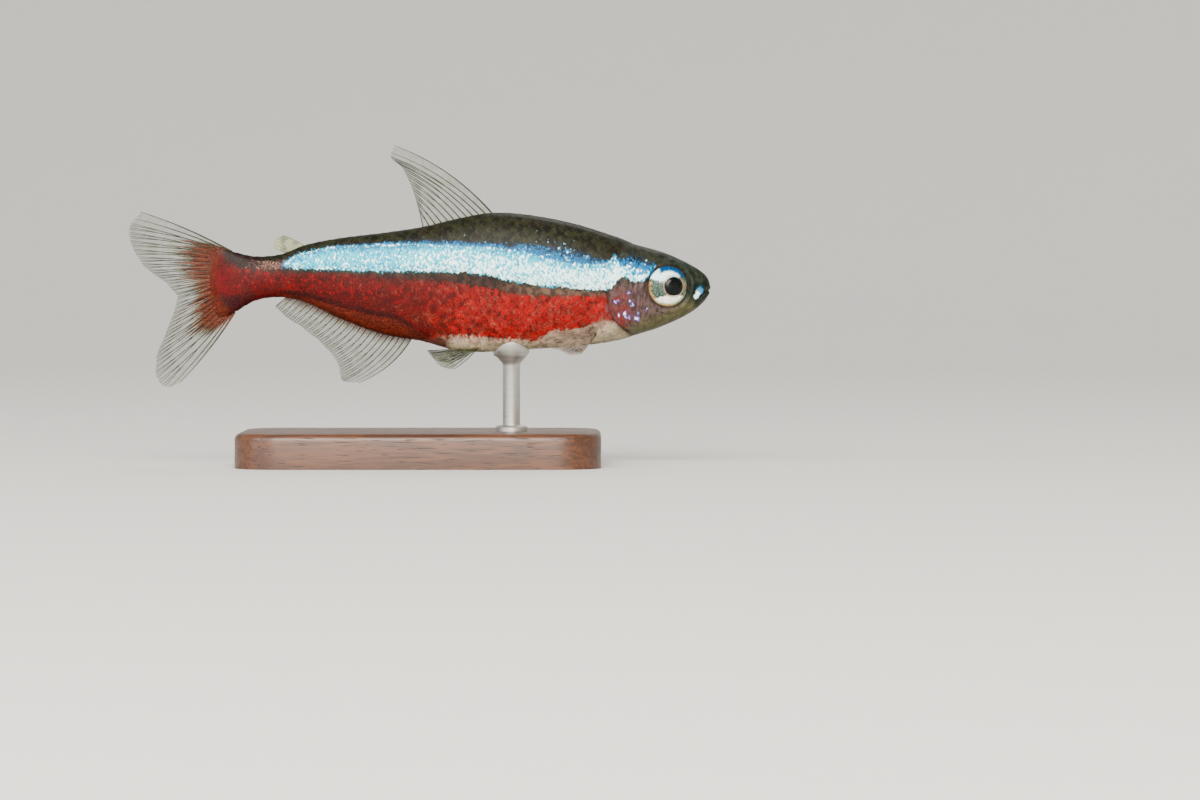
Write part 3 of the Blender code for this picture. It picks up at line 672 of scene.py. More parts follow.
def makeSkin(material):
    bodyRings, headRings = body["bodyRings"], body["headRings"]
    rings = bodyRings + headRings + 2
    # The head's rings close up towards the snout, where the mouth and nostrils are
    headShares = np.linspace(0, 1, headRings) ** 0.8
    headShares = 1 - (1 - headShares) ** 1.25

    def place(u, v):
        ring = np.rint(u * (rings - 1)).astype(int)
        angle = v * 2 * math.pi
        edge = gillEdge(angle)
        edgeZ = bodyPoint(np.full(len(angle), gill["x"]), angle)[:, 2]
        slit = smoothStep(edgeZ, gill["bottom"] - 0.2, gill["bottom"] + 0.5)
        slit = slit * (1 - smoothStep(edgeZ, gill["top"] - 0.7, gill["top"] + 0.4))
        inner = edge + gill["tuck"] * slit - gill["short"] * (1 - slit)
        xBody = tailX + (inner - tailX) * np.clip(ring / (bodyRings - 1), 0, 1)
        headShare = headShares[np.clip(ring - bodyRings - 2, 0, headRings - 1)]
        start = gill["start"]
        xHead = edge + start + (snoutX - 0.001 - edge - start) * headShare
        isBody, isHead = ring < bodyRings, ring >= bodyRings + 2
        xFold = np.where(ring == bodyRings, edge + 0.05 * slit - 0.035 * (1 - slit), edge)
        x = np.where(isBody, xBody, np.where(isHead, xHead, xFold))
        plain = bodyPoint(x, angle)
        sunk = body["coat"] * smoothStep(x, tailX, tailX + 0.8)
        blendIn = 1 - smoothStep(x, edge, edge + gill["blend"])
        onHead = gill["lift"] * slit * bump(x - edge, 1.1) - sunk * blendIn * (1 - slit)
        onHead += headRelief(x, plain[:, 2]) * smoothStep(x, edge, edge + 0.3)
        lift = np.where(isHead, onHead, -sunk)
        lift -= np.where(isBody, 0.03 * slit * smoothStep(x, edge - 0.5, edge), 0)
        lip = gill["lift"] * slit
        lift = np.where(ring == bodyRings, lip * 0.2 - sunk * (1 - slit), lift)
        lift = np.where(ring == bodyRings + 1, lip * 0.7 - sunk * (1 - slit), lift)
        points = plain + bodyNormal(x, angle) * lift[:, None]
        points[:, 0] = roundTail(points[:, 0], points[:, 2])
        return seatEyes(points)

    bm, _ = mappedGrid(rings - 1, body["around"], place)
    bmesh.ops.remove_doubles(bm, verts=bm.verts, dist=0.002)
    ends = [e for e in bm.edges if e.is_boundary]
    bmesh.ops.holes_fill(bm, edges=ends, sides=0)
    bm.normal_update()
    bmesh.ops.recalc_face_normals(bm, faces=bm.faces)
    piece = addPiece("skin", bm, material, ["head", "trunk", "tail_stalk"])
    addFields(piece, bodyFields(pointsOf(piece)))
    print("skin:", len(piece.data.polygons), "faces")


scales = {
    "headEnd": 14.6,  # where the first and last scales are
    "tailEnd": -13.6,
    "front": 0.88,  # distance between scales in a row, behind the head
    "rear": 0.66,  # and on the tail stalk
    "length": 1.55,  # a scale's length and width, as shares of that distance
    "width": 1.10,
    "lift": 0.045,  # how far the free edge stands up
    "crown": 0.016,
    "thick": 0.012,
    "root": 0.006,
    "cells": 5,
    "patch": 0.003,
}


def makeScales(material, side, word):
    rand = random.Random(11 if side > 0 else 12)
    spots = []
    x, column = scales["headEnd"], 0
    halfTurn = np.linspace(0, math.pi, 200)
    while x > scales["tailEnd"]:
        share = (x - tailX) / (scales["headEnd"] - tailX)
        pitch = scales["rear"] + (scales["front"] - scales["rear"]) * share
        ring = bodyPoint(np.full(len(halfTurn), x), halfTurn)
        arc = np.concatenate([[0], np.cumsum(np.linalg.norm(np.diff(ring, axis=0), axis=1))])
        rows = max(4, round(arc[-1] / pitch))
        for row in range(rows + 1):
            place = (row + 0.5 * (column % 2)) / rows
            if place > 1 or (side > 0 and place in (0, 1)):  # the right side has the middle rows
                continue
            angle = np.interp(place * arc[-1], arc, halfTurn)
            spots.append((x, side * angle, pitch * rand.uniform(0.96, 1.04), rand.random()))
        x -= pitch / 2
        column += 1
    spots = np.array(spots)
    edge = gillEdge(spots[:, 1])
    spots = spots[spots[:, 0] < edge + 0.1]

    # One plate, with a top and an underside, laid on the body once for each scale
    plate, local = slab(scales["cells"], scales["cells"], lambda u, v, w: np.stack([u, v, w], -1))
    faces = np.array([[v.index for v in f.verts] for f in plate.faces])
    plate.free()
    across, along, top = local[:, 0] * 2 - 1, local[:, 1], local[:, 2]
    rootX, rootAngle, pitch, tone = [spots[:, k][:, None] for k in range(4)]
    back = along - 0.24 * across**2 * along
    x = rootX + 0.25 * pitch - back * pitch * scales["length"]
    sideways = across * (1 - 0.42 * along**2.5) * pitch * scales["width"] / 2
    # An arc length becomes an angle by the local girth
    step = 0.2
    chord = bodyPoint(x, rootAngle + step) - bodyPoint(x, rootAngle - step)
    reach = np.linalg.norm(chord, axis=-1) / (2 * step)
    angle = rootAngle + side * sideways / np.maximum(reach, 0.25)
    height = scales["root"] - 0.05 * (1 - smoothStep(along, 0, 0.22)) + scales["lift"] * along
    height = height + scales["crown"] * (1 - across**2) * along + scales["thick"] * top - body["coat"]
    points = bodyPoint(x, angle) + bodyNormal(x, angle) * height[..., None]
    count, size = len(spots), len(local)
    allFaces = (faces[None] + (np.arange(count) * size)[:, None, None]).reshape(-1, 4)
    if side > 0:
        allFaces = allFaces[:, ::-1]

    mesh = bpy.data.meshes.new("scales_" + word)
    flat = (points.reshape(-1, 3) + (0, 0, axisHeight)) * mm
    mesh.from_pydata(flat, [], allFaces)
    piece = finishPiece("scales_" + word, mesh, material)
    mesh.set_sharp_from_angle(angle=math.radians(40))
    rim = np.broadcast_to(smoothStep(back + 0.16 * across**2, 0.80, 0.98), angle.shape).ravel()
    addFields(piece, scaleFields(points.reshape(-1, 3), np.repeat(spots[:, 3], size), rim))
    # Each scale is a small patch at its root's place on the body's unwrap
    u = (spots[:, 0] - tailX) / (snoutX - tailX)
    v = (spots[:, 1] / (2 * math.pi)) % 1.0
    patch = scales["patch"]
    uv = np.stack([u[:, None] + patch * (along - 0.5), v[:, None] + patch / 2 * across], -1).reshape(-1, 2)
    layer = mesh.uv_layers.new(name="OFBake")
    layer.data.foreach_set("uv", uv[allFaces.ravel()].astype(np.float32).ravel())
    print("scales", word, count, "plates,", len(mesh.polygons), "faces")


def makeEyes(material):
    for side, word in ((-1, "right"), (1, "left")):
        centre, out, ahead = eyeFrame(side)
        bm = bmesh.new()
        bmesh.ops.create_uvsphere(bm, u_segments=96, v_segments=72, radius=1.0)
        unit = np.array([v.co for v in bm.verts])
        outward = unit[:, 2] > 0
        a = unit[:, 0] * eye["ball"]
        b = unit[:, 1] * eye["ball"]
        height = np.where(outward, eye["depth"], eye["back"]) * unit[:, 2] - eye["sunk"]
        fromPupil = np.hypot(a - eye["pupilShift"], b)
        # The lens bulges through the pupil, inside a fine raised ring
        height += outward * eye["lens"] * (1 - smoothStep(fromPupil, 0.35, eye["pupil"]))
        height += outward * 0.03 * bump(fromPupil - eye["pupil"] - 0.05, 0.05)
        height -= outward * 0.02 * bump(fromPupil - eye["pupil"] + 0.04, 0.04)
        places = centre + a[:, None] * ahead + b[:, None] * np.array([0, 0, 1]) + height[:, None] * out
        for vert, spot in zip(bm.verts, places):
            vert.co = spot
        bm.normal_update()
        bmesh.ops.recalc_face_normals(bm, faces=bm.faces)
        piece = addPiece("eye_ball_" + word, bm, material, ["eye_" + word])
        away = np.hypot(a, b)
        # upper and lower: the white arcs of painted reflection in the silver iris, above and below the pupil
        fields = {"upper": b - 0.38 - 0.20 * a - 0.25 * a**2}
        fields["lower"] = -0.62 - b + 0.12 * a - 0.15 * a**2
        fields["copper"] = 0.034 - np.abs(fromPupil - 0.72)
        fields["blueArc"] = np.minimum.reduce([away - 1.05, b - 0.62, a + 0.62])
        fields["gold"] = np.minimum(away - 1.25, -0.85 * a - b - 0.80)
        fields["frontSpot"] = 0.14 - np.hypot(a - 1.12, 0.5 * (b - 0.02))
        # eyeEdge: a thin ring of painted shade where the ball goes under the skin
        fields["eyeEdge"] = away - 1.36
        fields["pupil"] = eye["pupil"] - fromPupil
        fields["greenLow"] = np.minimum(away - 1.2, 0.45 * a - b - 0.9)
        addFields(piece, fields)
    print("eyes made")


# Fish eye: black lens, silver iris of guanine flakes with blue above and gold below, wet clear cornea
eyeLooks = {
    "grains": {
        "flake": (0.09, 0.11, 3.0),
        "fine": (0.06, 0.06, 2.0),
    },
    "layers": [
        ("iris", None, 0, 0, "flake", "1f2d26", "4c6056", 1),
        # Painted reflection: white arcs in the silver iris above and below the pupil
        ("upper", "flake", 0.4, 0.07, "flake", "8fd6e0", "ffffff", 1),
        ("lower", "flake", 0.3, 0.07, "flake", "d6d6b8", "fffffa", 1),
        ("greenLow", "flake", 0.4, 0.10, "flake", "3e5238", "7c9068", 0.9),
        ("blueArc", "flake", 0.35, 0.08, "fine", "001c40", "00487c", 1),
        ("gold", "flake", 0.3, 0.08, "flake", "8c6028", "c8a058", 0.8),
        ("copper", "flake", 0.03, 0.02, "fine", "6a5040", "a88c74", 0.95),
        ("frontSpot", "fine", 0.1, 0.05, "fine", "5c4434", "947458", 0.85),
        # Painted shade at the ball's rim
        ("eyeEdge", "flake", 0.06, 0.04, "fine", "0c0e0a", "181b15", 0.95),
        ("pupil", "fine", 0.03, 0.02, "fine", "010303", "020605", 1),
    ],
    "rough": ("flake", 0.22, 0.45),
    "bump": ("flake", 0.015),
    "finish": {
        "IOR": 1.36,
        "Specular IOR Level": 0.12,
        "Coat Weight": 0.45,
        "Coat Roughness": 0.04,
        "Coat IOR": 1.33,
    },
}


# Fins. Roots and tips run from the leading ray to the last one, in millimetres from the axis.
def backLine(x, off=-0.12):
    return (x, 0, float(section(x)[0]) + off)


def bellyLine(x, off=-0.12):
    return (x, 0, float(section(x)[1]) - off)


def flankSpot(x, z, side, off=-0.10):
    x = np.array([x])
    angle = flankAngle(x, z, side)
    return tuple((bodyPoint(x, angle) + bodyNormal(x, angle) * off)[0])


def finShapes():
    tailRear = -13.75
    shapes = {
        "dorsal_fin": {
            "root": [backLine(x) for x in (5.05, 3.9, 2.7, 1.5, 0.25)],
            "tips": [(-1.85, 0.30, 9.50), (-2.10, 0.30, 8.80), (-1.25, 0.26, 7.95),
                     (-0.62, 0.20, 6.70), (-0.20, 0.10, 5.40), (0.02, 0.03, 4.65)],
            "bow": (0.25, 0.0, 0.50), "rays": 12, "plain": 2, "ray": 0.10, "pigment": [0],
        },
        "adipose_fin": {
            "root": [backLine(x) for x in (-7.9, -8.4, -9.1)],
            "tips": [(-9.45, -0.02, 3.28), (-9.98, -0.04, 2.98), (-10.08, -0.03, 2.42)],
            "bow": (0.0, 0.0, 0.08), "rays": 6, "plain": 6, "ray": 0.04, "pigment": [0], "sheet": 0.2,
        },
        "anal_fin": {
            "root": [bellyLine(x) for x in (-0.55, -2.4, -4.4, -6.4, -8.0, -9.1)],
            "tips": [(-4.30, 0.34, -6.92), (-5.40, 0.34, -6.72), (-5.62, 0.30, -5.70), (-6.60, 0.22, -4.40),
                     (-8.10, 0.12, -3.10), (-9.25, 0.06, -2.35), (-10.00, 0.02, -1.62)],
            "bow": (0.30, 0.0, -0.30), "rays": 24, "plain": 3, "ray": 0.085,
            "pigment": [0.05, 0.10, 0.14, 0.2, 0.3],
        },
        "caudal_fin_upper": {
            "root": [(-12.95, 0, 2.16), (-13.6, 0, 2.2),
                     (tailRear, 0, 1.75), (tailRear, 0, 0.85), (tailRear, 0, -0.02)],
            "tips": [(-19.32, -0.50, 4.93), (-19.85, -0.55, 4.20), (-20.00, -0.56, 3.30),
                     (-19.62, -0.52, 2.05), (-18.80, -0.44, 1.00), (-17.60, -0.32, 0.10),
                     (-16.72, -0.24, -0.84)],
            "bow": (0.0, 0.0, 0.20), "rays": 13, "plain": 2, "ray": 0.11,
            "pigment": [0.05, 0.18, 0.38, 0.50, 0.56, 0.58, 0.58, 0.60, 0.62, 0.64, 0.70, 0.80],
        },
        "caudal_fin_lower": {
            "root": [(-12.75, 0, -2.0), (-13.5, 0, -2.25),
                     (tailRear, 0, -1.8), (tailRear, 0, -0.95), (tailRear, 0, -0.06)],
            "tips": [(-16.60, -0.20, -6.92), (-17.50, -0.28, -7.25), (-18.25, -0.36, -6.50),
                     (-18.15, -0.36, -5.10), (-17.65, -0.34, -3.70), (-17.05, -0.29, -2.25),
                     (-16.70, -0.22, -0.94)],
            "bow": (0.10, 0.0, -0.15), "rays": 12, "plain": 2, "ray": 0.11,
            "pigment": [0.04, 0.12, 0.28, 0.40, 0.48, 0.52, 0.55, 0.60, 0.64, 0.70, 0.80],
        },
    }
    for side, word in ((-1, "right"), (1, "left")):
        shapes["pectoral_fin_" + word] = {
            "root": [flankSpot(x, z, side) for x, z in ((12.55, -3.0), (12.35, -3.3), (12.2, -3.6))],
            "tips": [(8.15, side * 2.70, -3.70), (8.55, side * 2.80, -4.18), (9.50, side * 2.75, -4.60),
                     (10.35, side * 2.55, -4.90), (11.10, side * 2.25, -4.88)],
            "bow": (0.0, side * 0.12, 0.10), "rays": 11, "plain": 1, "ray": 0.055,
            "pigment": [0], "pair": True,
        }
        fold = 0.0 if side < 0 else 0.35  # the left one is folded up a little further
        shapes["pelvic_fin_" + word] = {
            "root": [flankSpot(x, z, side) for x, z in ((4.0, -4.50), (3.65, -4.56), (3.3, -4.62))],
            "tips": [(2.35 - fold, side * 1.95, -5.95 + fold),
                     (1.45 - fold, side * 1.75, -5.72 + fold),
                     (0.98 - fold, side * 1.25, -5.20 + fold * 0.7),
                     (0.75 - fold, side * 0.70, -4.80 + fold * 0.4)],
            "bow": (0.10, side * 0.08, -0.05), "rays": 8, "plain": 1, "ray": 0.065, "pigment": [0],
        }
    return shapes


finLooks = {
    "sheet": 0.07,  # the membrane's thickness at its root
    "ripple": 0.035,
    "fork1": 0.42,  # where a ray forks, as a share of its length
    "fork2": 0.70,
    "forkVaries": 0.05,
    "spread1": 0.25,  # how far the branches part, as shares of the gap between rays
    "spread2": 0.115,
    "notch": 0.035,
    "nicks": 4,  # scallops, streaks of pigment and mesh columns in each gap between rays
    "streaks": 6,
    "columns": 12,
    "steps": 26,
    "redFans": [(-13.9, 0.85, 2.1), (-13.7, -1.65, 2.0)],  # where the tail's rays are red: x, z and reach
}


def makeFin(name, shape, membrane, rayMaterial):
    rand = random.Random(name)
    rootAt, tipAt = smoothPath(shape["root"]), smoothPath(shape["tips"])
    rays = shape["rays"]
    lengths = np.array([rand.uniform(-0.018, 0.006) for _ in range(rays)])
    bow = np.array(shape["bow"])

    def place(across, along):  # across runs from the leading ray to the last
        across, along = np.clip(across, 0, 1), np.asarray(along, float)
        foot, tip = rootAt(across), tipAt(across)
        share = along * (1 + np.interp(across * (rays - 1), range(rays), lengths))
        bulge = (4 * share * (1 - share) * (1 - across) ** 1.5)[:, None] * bow
        points = foot + (tip - foot) * share[:, None] + bulge
        wave = np.sin(across * (rays - 1) * math.pi * 2) * finLooks["ripple"] * along * (1 - 0.5 * along)
        return points + np.stack([0 * wave, wave, 0 * wave], -1)

    # Membrane: thin, thinnest at its edge, and scalloped between the ray tips
    edgeRand = random.Random(name + "edge")
    nicks = finLooks["nicks"]
    tears = np.array([
        edgeRand.uniform(0.35, 1.0) * (2.4 if edgeRand.random() < 0.08 else 1) for _ in range(rays * nicks)
    ])

    def sheetPlace(u, v, w):
        cell = np.clip(u, 0, 1) * (rays - 1) * nicks
        dip = np.sin(cell * math.pi) ** 2 * tears[np.floor(cell).astype(int)]
        v = v * (1 - finLooks["notch"] * dip)
        step = 0.004
        uIn, vIn = np.clip(u, step, 1 - step), np.clip(v, step, 1 - step)
        across = place(uIn + step, vIn) - place(uIn - step, vIn)
        along = place(uIn, vIn + step) - place(uIn, vIn - step)
        normal = np.cross(across, along)
        normal = normal / np.maximum(np.linalg.norm(normal, axis=1, keepdims=True), 1e-9)
        thick = shape.get("sheet", finLooks["sheet"]) * (1 - 0.65 * v)
        return place(u, v) + normal * (thick * (w - 0.5))[:, None]

    bm, shares = slab((rays - 1) * finLooks["columns"], finLooks["steps"], sheetPlace)
    sheet = addPiece(name + "_membrane", bm, membrane, [name])
    across, along = shares[:, 0], shares[:, 1]
    reach = np.interp(across, np.linspace(0, 1, len(shape["pigment"])), shape["pigment"])
    streakCount = (rays - 1) * finLooks["streaks"]
    streaks = np.array([edgeRand.uniform(0.65, 1.15) for _ in range(streakCount + 1)])
    streak = streaks[np.rint(across * streakCount).astype(int)]
    reach = reach * np.maximum(streak * (0.6 + 0.4 * np.abs(np.sin(across * (rays - 1) * math.pi))), 0.55)
    length = np.linalg.norm(tipAt(across) - rootAt(across), axis=1)
    inside = np.where(reach > 0.01, (reach - along) * length, -1)
    addFields(sheet, {"pigment": inside, "pigmentRed": np.minimum(inside, 0.6 - along * length)})

    # Rays: round bony rods that fork twice and taper to the edge
    curve = bpy.data.curves.new(name + "_rays", "CURVE")
    curve.dimensions = "3D"
    curve.bevel_depth = mm
    curve.bevel_resolution = 1
    curve.use_fill_caps = True
    spacing = 1 / (rays - 1)

    def addRod(start, end, offsetAt, thicknessAt):
        steps = max(4, int(finLooks["steps"] * (end - start)))
        along = np.linspace(start, end, steps + 1)
        across = offsetAt(along)
        points = (place(across, along) + (0, 0, axisHeight)) * mm
        spline = curve.splines.new("POLY")
        spline.points.add(steps)
        for point, spot, t in zip(spline.points, points, along):
            point.co = (*spot, 1)
            point.radius = thicknessAt(t)

    for ray in range(rays):
        middle = ray * spacing
        stout = shape["ray"] * (1.25 if ray == 0 else 1.0) / 2
        if ray < shape["plain"]:
            addRod(0.0, 1.0, lambda t: middle + 0 * t, lambda t: stout * (1.15 - 0.85 * t))
            continue
        varies = finLooks["forkVaries"]
        fork1 = finLooks["fork1"] + rand.uniform(-varies, varies)
        fork2 = finLooks["fork2"] + rand.uniform(-varies, varies)
        addRod(0.0, fork1, lambda t: middle + 0 * t, lambda t: stout * (1.1 - 0.75 * t))
        for first in (-1, 1):
            def firstPath(t):
                spread = np.sqrt(np.clip((t - fork1) / (1 - fork1), 0, 1))
                return middle + first * spacing * finLooks["spread1"] * spread
            addRod(fork1, fork2, firstPath, lambda t: stout * (0.88 - 0.50 * t))
            for second in (-1, 1):
                def secondPath(t):
                    spread = np.clip((t - fork2) / (1 - fork2), 0, 1) ** 0.7
                    return firstPath(t) + second * spacing * finLooks["spread2"] * spread
                addRod(fork2, 1.0, secondPath, lambda t: stout * (0.72 - 0.34 * t))
    holder = bpy.data.objects.new(name + "_rays", curve)
    bpy.context.scene.collection.objects.link(holder)
    bpy.context.view_layer.update()
    solid = bpy.data.meshes.new_from_object(holder.evaluated_get(bpy.context.evaluated_depsgraph_get()))
    bpy.data.objects.remove(holder)
    solid.name = name + "_rays"
    solid.materials.clear()
    piece = finishPiece(name + "_rays", solid, rayMaterial)
    spots = pointsOf(piece)
    red = np.full(len(spots), -9.0)
    if "caudal" in name:
        for x, z, size in finLooks["redFans"]:
            away = np.hypot((spots[:, 0] - x) / size, (spots[:, 2] - z) / 1.5)
            red = np.maximum(red, size * (1 - away))
    addFields(piece, {"rayRed": red})
    print(name, len(sheet.data.polygons), "membrane faces,", len(solid.polygons), "ray faces")


# Fin membrane: clear as wet film with a faint olive tint, brown-red pigment between the tail's ray feet
membraneLooks = {
    "grains": {
        "fleck": (0.15, 0.15, 2.0),
        "cloud": (0.8, 0.8, 2.0),
        "streak": (0.9, 0.09, 2.0),
    },
    "layers": [
        ("membrane", None, 0, 0, "cloud", "3a3e26", "565a3c", 1),
        ("pigment", "fleck", 0.6, 0.70, "streak", "260a00", "4a1900", 1),
        ("pigmentRed", "fleck", 0.5, 0.40, "fleck", "300602", "4c0f02", 0.9),
    ],
    "rough": ("fleck", 0.22, 0.40),
    "alpha": ("cloud", 0.12, 0.24, "pigment", 0.95),
    "finish": {"IOR": 1.38, "Specular IOR Level": 0.2},
}
# Paired fins: the same film, pale pink over the flank
pairedLooks = dict(membraneLooks)
pairedLooks["layers"] = [("membrane", None, 0, 0, "streak", "4a3c32", "8a7464", 1)]
pairedLooks["alpha"] = ("streak", 0.06, 0.30, None, 0)
# Adipose fin: a small fold of fatty skin, cloudy and pale
adiposeLooks = dict(membraneLooks)
adiposeLooks["layers"] = [("membrane", None, 0, 0, "cloud", "64684a", "8e9274", 1)]
adiposeLooks["alpha"] = ("cloud", 0.50, 0.75, None, 0)
# Fin rays: jointed bony rods, translucent olive with dark pigment along them
rayLooks = {
    "grains": {"fleck": (0.12, 0.12, 2.0), "cloud": (0.5, 0.5, 2.0)},
    "layers": [
        ("ray", None, 0, 0, "fleck", "12130b", "34371f", 1),
        ("rayRed", "cloud", 0.8, 0.45, "fleck", "401300", "642604", 0.9),
    ],
    "rough": ("cloud", 0.30, 0.45),
    "alpha": ("cloud", 0.72, 0.90, None, 0),
    "finish": {"IOR": 1.45, "Specular IOR Level": 0.25},
}
pairedRayLooks = dict(rayLooks)
pairedRayLooks["layers"] = [("ray", None, 0, 0, "cloud", "3a3026", "80705c", 1)]


stand = {
    "length": 25.0,
    "width": 14.0,
    "thick": 2.4,
    "corner": 3.0,
    "edge": 0.45,
    "rodX": 6.3,
    "rod": 0.6,
    "saddle": 1.25,
    "lip": 0.25,
    "depth": 0.95,
    "collar": 1.1,
}


def bellyHeight(x, y):
    back, belly, half = section(x)
    turn = np.arcsin(np.clip(abs(y) / half, 0, 1) ** (1 / body["fullness"]))
    return float((back + belly) / 2 - (back - belly) / 2 * np.cos(turn))


def makeStand(wood, steel):
    bm = bmesh.new()
    bmesh.ops.create_cube(bm, size=1.0)
    bmesh.ops.scale(bm, verts=bm.verts, vec=(stand["length"], stand["width"], stand["thick"]))
    bmesh.ops.translate(bm, verts=bm.verts, vec=(0, 0, stand["thick"] / 2 - axisHeight))
    upright = [e for e in bm.edges if abs(e.verts[0].co.z - e.verts[1].co.z) > 1]
    bmesh.ops.bevel(
        bm, geom=upright, offset=stand["corner"], segments=12, profile=0.5, affect="EDGES", material=-1
    )
    top = stand["thick"] - axisHeight
    rim = [e for e in bm.edges if all(abs(v.co.z - top) < 0.01 for v in e.verts)]
    bmesh.ops.bevel(
        bm, geom=rim, offset=stand["edge"], segments=5, profile=0.5, affect="EDGES", material=-1
    )
    base = addPiece("stand_block", bm, wood, ["stand_base"])
    base.data.set_sharp_from_angle(angle=math.radians(35))

    saddleTop = bellyHeight(stand["rodX"], 0) + 0.02
    rod, saddle, collar = stand["rod"], stand["saddle"], stand["collar"]
    profile = [
        (0, saddleTop), (saddle * 0.35, saddleTop), (saddle * 0.7, saddleTop), (saddle - 0.06, saddleTop),
        (saddle, saddleTop - 0.06), (saddle, saddleTop - stand["lip"]), (saddle * 0.8, saddleTop - 0.5),
        (rod * 1.1, saddleTop - stand["depth"] + 0.1), (rod, saddleTop - stand["depth"] - 0.15),
        (rod, top + 0.42), (collar - 0.1, top + 0.36), (collar, top + 0.26),
        (collar, top - 0.05), (0, top - 0.05),
    ]
    bm = turned(profile, 48, 0.0005)
    bmesh.ops.translate(bm, verts=bm.verts, vec=(stand["rodX"], 0, 0))
    for vert in bm.verts:
        if vert.co.z > saddleTop - stand["depth"] / 2:
            vert.co.z += bellyHeight(vert.co.x, vert.co.y) + 0.02 - saddleTop
    bm.normal_update()
    bmesh.ops.recalc_face_normals(bm, faces=bm.faces)
    rodPiece = addPiece("stand_post", bm, steel, ["stand_rod"])
    rodPiece.data.set_sharp_from_angle(angle=math.radians(40))
    print("stand made")


def walnut():
    # Walnut, sawn along the grain, sanded and oiled: warm dark brown with fine dark pores,
    # about 1.4 mm long and 0.09 mm wide
    material, tree, shader, place = newMaterial("oiled walnut")
    along = addNode(tree, "VectorMath", (place, (0.05, 0.55, 0.55)), operation="MULTIPLY")
    rings = addNode(tree, "TexNoise", {"Vector": along, "Scale": 1.6, "Detail": 4.0, "Distortion": 0.4})
    wave = addNode(tree, "Math", (rings, 34.0), operation="MULTIPLY")
    lines = addNode(tree, "MapRange", (addNode(tree, "Math", (wave,), operation="SINE"), -1.0, 1.0))
    tone = addNode(tree, "Mix", {0: lines, 6: "402415", 7: "56321d"}, out=2, data_type="RGBA")
    along = addNode(tree, "VectorMath", (place, (0.7, 11.0, 11.0)), operation="MULTIPLY")
    pores = addNode(tree, "TexNoise", {"Vector": along, "Scale": 1.0, "Detail": 2.0})
    pores = addNode(tree, "MapRange", (pores, 0.58, 0.66))
    tone = addNode(tree, "Mix", {0: pores, 6: tone, 7: "22120a"}, out=2, data_type="RGBA")
    tree.links.new(tone, shader.inputs["Base Color"])
    tree.links.new(addNode(tree, "MapRange", (pores, 0.0, 1.0, 0.34, 0.6)), shader.inputs["Roughness"])
    inputs = {"Height": pores, "Strength": 0.3, "Distance": 0.03 * mm}
    tree.links.new(addNode(tree, "Bump", inputs, invert=True), shader.inputs["Normal"])
    return material


def brushedSteel():
    # Stainless rod, turned and brushed round: grey, with fine rings, 0.045 mm apart, that spread
    # the highlight
    material, tree, shader, place = newMaterial("brushed stainless steel")
    around = addNode(tree, "VectorMath", (place, (0.6, 0.6, 22.0)), operation="MULTIPLY")
    rings = addNode(tree, "TexNoise", {"Vector": around, "Scale": 1.0, "Detail": 2.0})
    tone = addNode(tree, "Mix", {0: rings, 6: "8e8d89", 7: "c9c8c3"}, out=2, data_type="RGBA")
    tree.links.new(tone, shader.inputs["Base Color"])
    tree.links.new(addNode(tree, "MapRange", (rings, 0.3, 0.7, 0.36, 0.52)), shader.inputs["Roughness"])
    shader.inputs["Metallic"].default_value = 1.0
    return material


room = {"floor": 0.30, "corner": 0.55, "wall": 0.85}  # metres


def makeRoom():
    material, tree, shader, place = newMaterial("pale matt card")
    grain = addNode(tree, "TexNoise", {"Vector": place, "Scale": 0.9, "Detail": 2.0})
    tone = addNode(tree, "Mix", {0: grain, 6: "d0d0cc", 7: "d5d5d1"}, out=2, data_type="RGBA")
    tree.links.new(tone, shader.inputs["Base Color"])
    shader.inputs["Roughness"].default_value = 0.8
    radius, corner = room["floor"], room["corner"]
    profile = [(0.0, 0.0), (radius * 0.5, 0.0), (radius, 0.0)]
    for i in range(1, 13):
        turn = math.pi / 2 * i / 12
        profile.append((radius + corner * math.sin(turn), corner * (1 - math.cos(turn))))
    profile.append((radius + corner, room["wall"]))
    bm = turned(profile, 96, 0.0001)
    bm.normal_update()
    bmesh.ops.recalc_face_normals(bm, faces=bm.faces)
    bmesh.ops.reverse_faces(bm, faces=bm.faces)
    mesh = bpy.data.meshes.new("floor")
    bm.to_mesh(mesh)
    bm.free()
    mesh.shade_smooth()
    mesh.materials.append(material)
    floor = bpy.data.objects.new("floor", mesh)
    bpy.context.scene.collection.objects.link(floor)

    world = bpy.data.worlds.new("studio")
    bpy.context.scene.world = world
    world.use_nodes = True
    background = world.node_tree.nodes["Background"]
    background.inputs["Color"].default_value = colour("eef2f6")
    background.inputs["Strength"].default_value = 0.50


lights = {
    # name: place in metres, size in metres, power in watts, colour
    "key": ((-0.02, -0.50, 0.29), 0.46, 9.2, "fff6ea"),
    "fill": ((-0.44, -0.34, 0.24), 0.34, 2.4, "eef5ff"),
    "rim": ((0.10, 0.36, 0.46), 0.30, 0.9, "ffffff"),
}


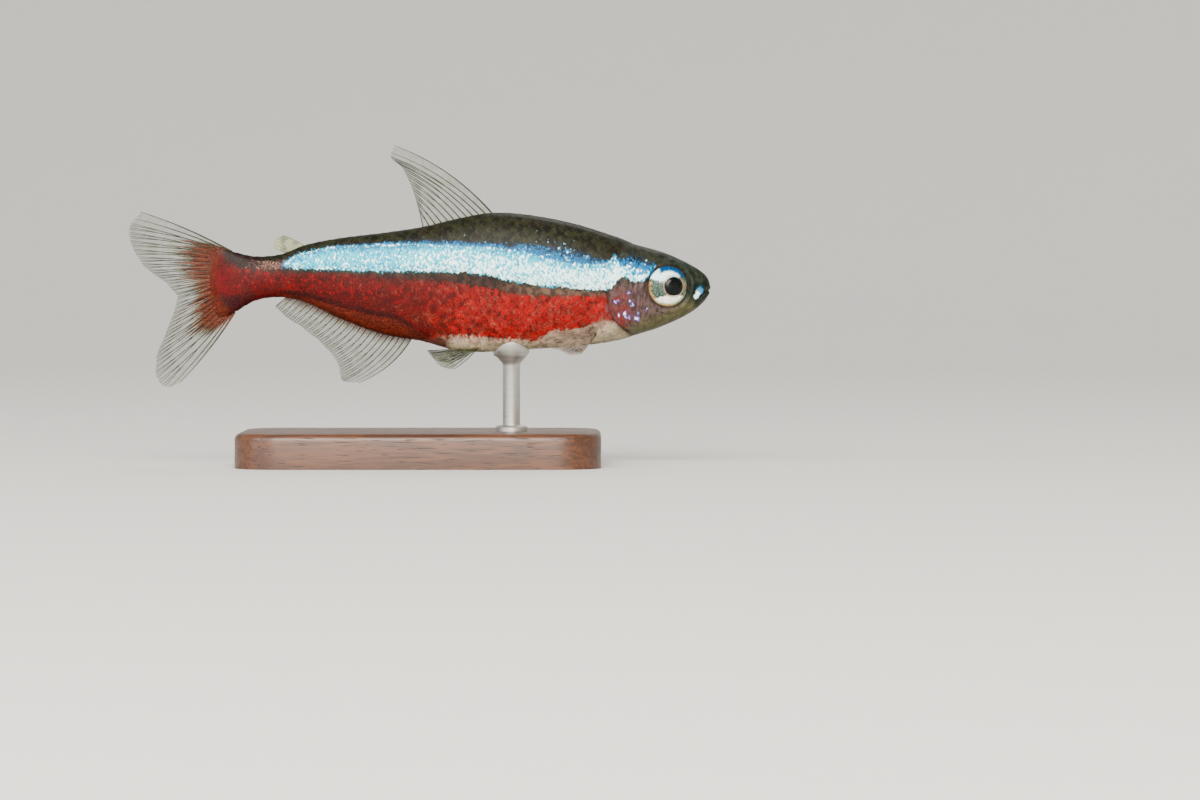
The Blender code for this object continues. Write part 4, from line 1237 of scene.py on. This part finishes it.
def makeLights():
    for name, (place, size, power, code) in lights.items():
        light = bpy.data.lights.new(name, "AREA")
        light.shape = "DISK"
        light.size = size
        light.energy = power
        light.color = colour(code)[:3]
        holder = bpy.data.objects.new(name, light)
        bpy.context.scene.collection.objects.link(holder)
        holder.location = place
        aim = Vector((0, 0, axisHeight * mm)) - Vector(place)
        holder.rotation_euler = aim.to_track_quat("-Z", "Y").to_euler()


view = {
    # The photograph is 1200 pixels wide, the fish is 580 of them and 40 mm long
    "pixelsPerMm": 14.5,
    "axisPixel": (420, 283),
    "picture": (1200, 800),
    "distance": 330.0,
    "height": 14.0,
    "sensor": 36.0,
}


def makeCamera():
    scale = view["pixelsPerMm"]
    wide = view["picture"][0] / scale
    aimX = (view["picture"][0] / 2 - view["axisPixel"][0]) / scale
    aimZ = axisHeight - (view["picture"][1] / 2 - view["axisPixel"][1]) / scale
    camera = bpy.data.objects.new("camera", bpy.data.cameras.new("camera"))
    bpy.context.scene.collection.objects.link(camera)
    camera.data.sensor_width = view["sensor"]
    camera.data.lens = view["sensor"] * view["distance"] / wide
    camera.data.clip_start = 0.01
    camera.location = (aimX * mm, -view["distance"] * mm, view["height"] * mm)
    aim = Vector((aimX, 0, aimZ)) * mm - camera.location
    camera.rotation_euler = aim.to_track_quat("-Z", "Y").to_euler()
    bpy.context.scene.camera = camera


makeRoom()
makeLights()
makeCamera()
print("room, lights and camera made")

makeSkin(paintMaterial("wet fish skin", skinLooks))
scaleMaterial = paintMaterial("clear scales over pigment", scaleLooks)
for side, word in ((-1, "right"), (1, "left")):
    makeScales(scaleMaterial, side, word)
makeEyes(paintMaterial("moist iris and lens", eyeLooks))
film = {
    "plain": paintMaterial("clear fin membrane", membraneLooks),
    "paired": paintMaterial("pale pink fin membrane", pairedLooks),
    "adipose": paintMaterial("cloudy fatty fin", adiposeLooks),
}
rays = paintMaterial("olive fin ray", rayLooks)
pairedRays = paintMaterial("pale fin ray", pairedRayLooks)
for name, shape in finShapes().items():
    kind = "adipose" if "adipose" in name else "paired" if "pair" in shape else "plain"
    makeFin(name, shape, film[kind], pairedRays if kind == "paired" else rays)
makeStand(walnut(), brushedSteel())
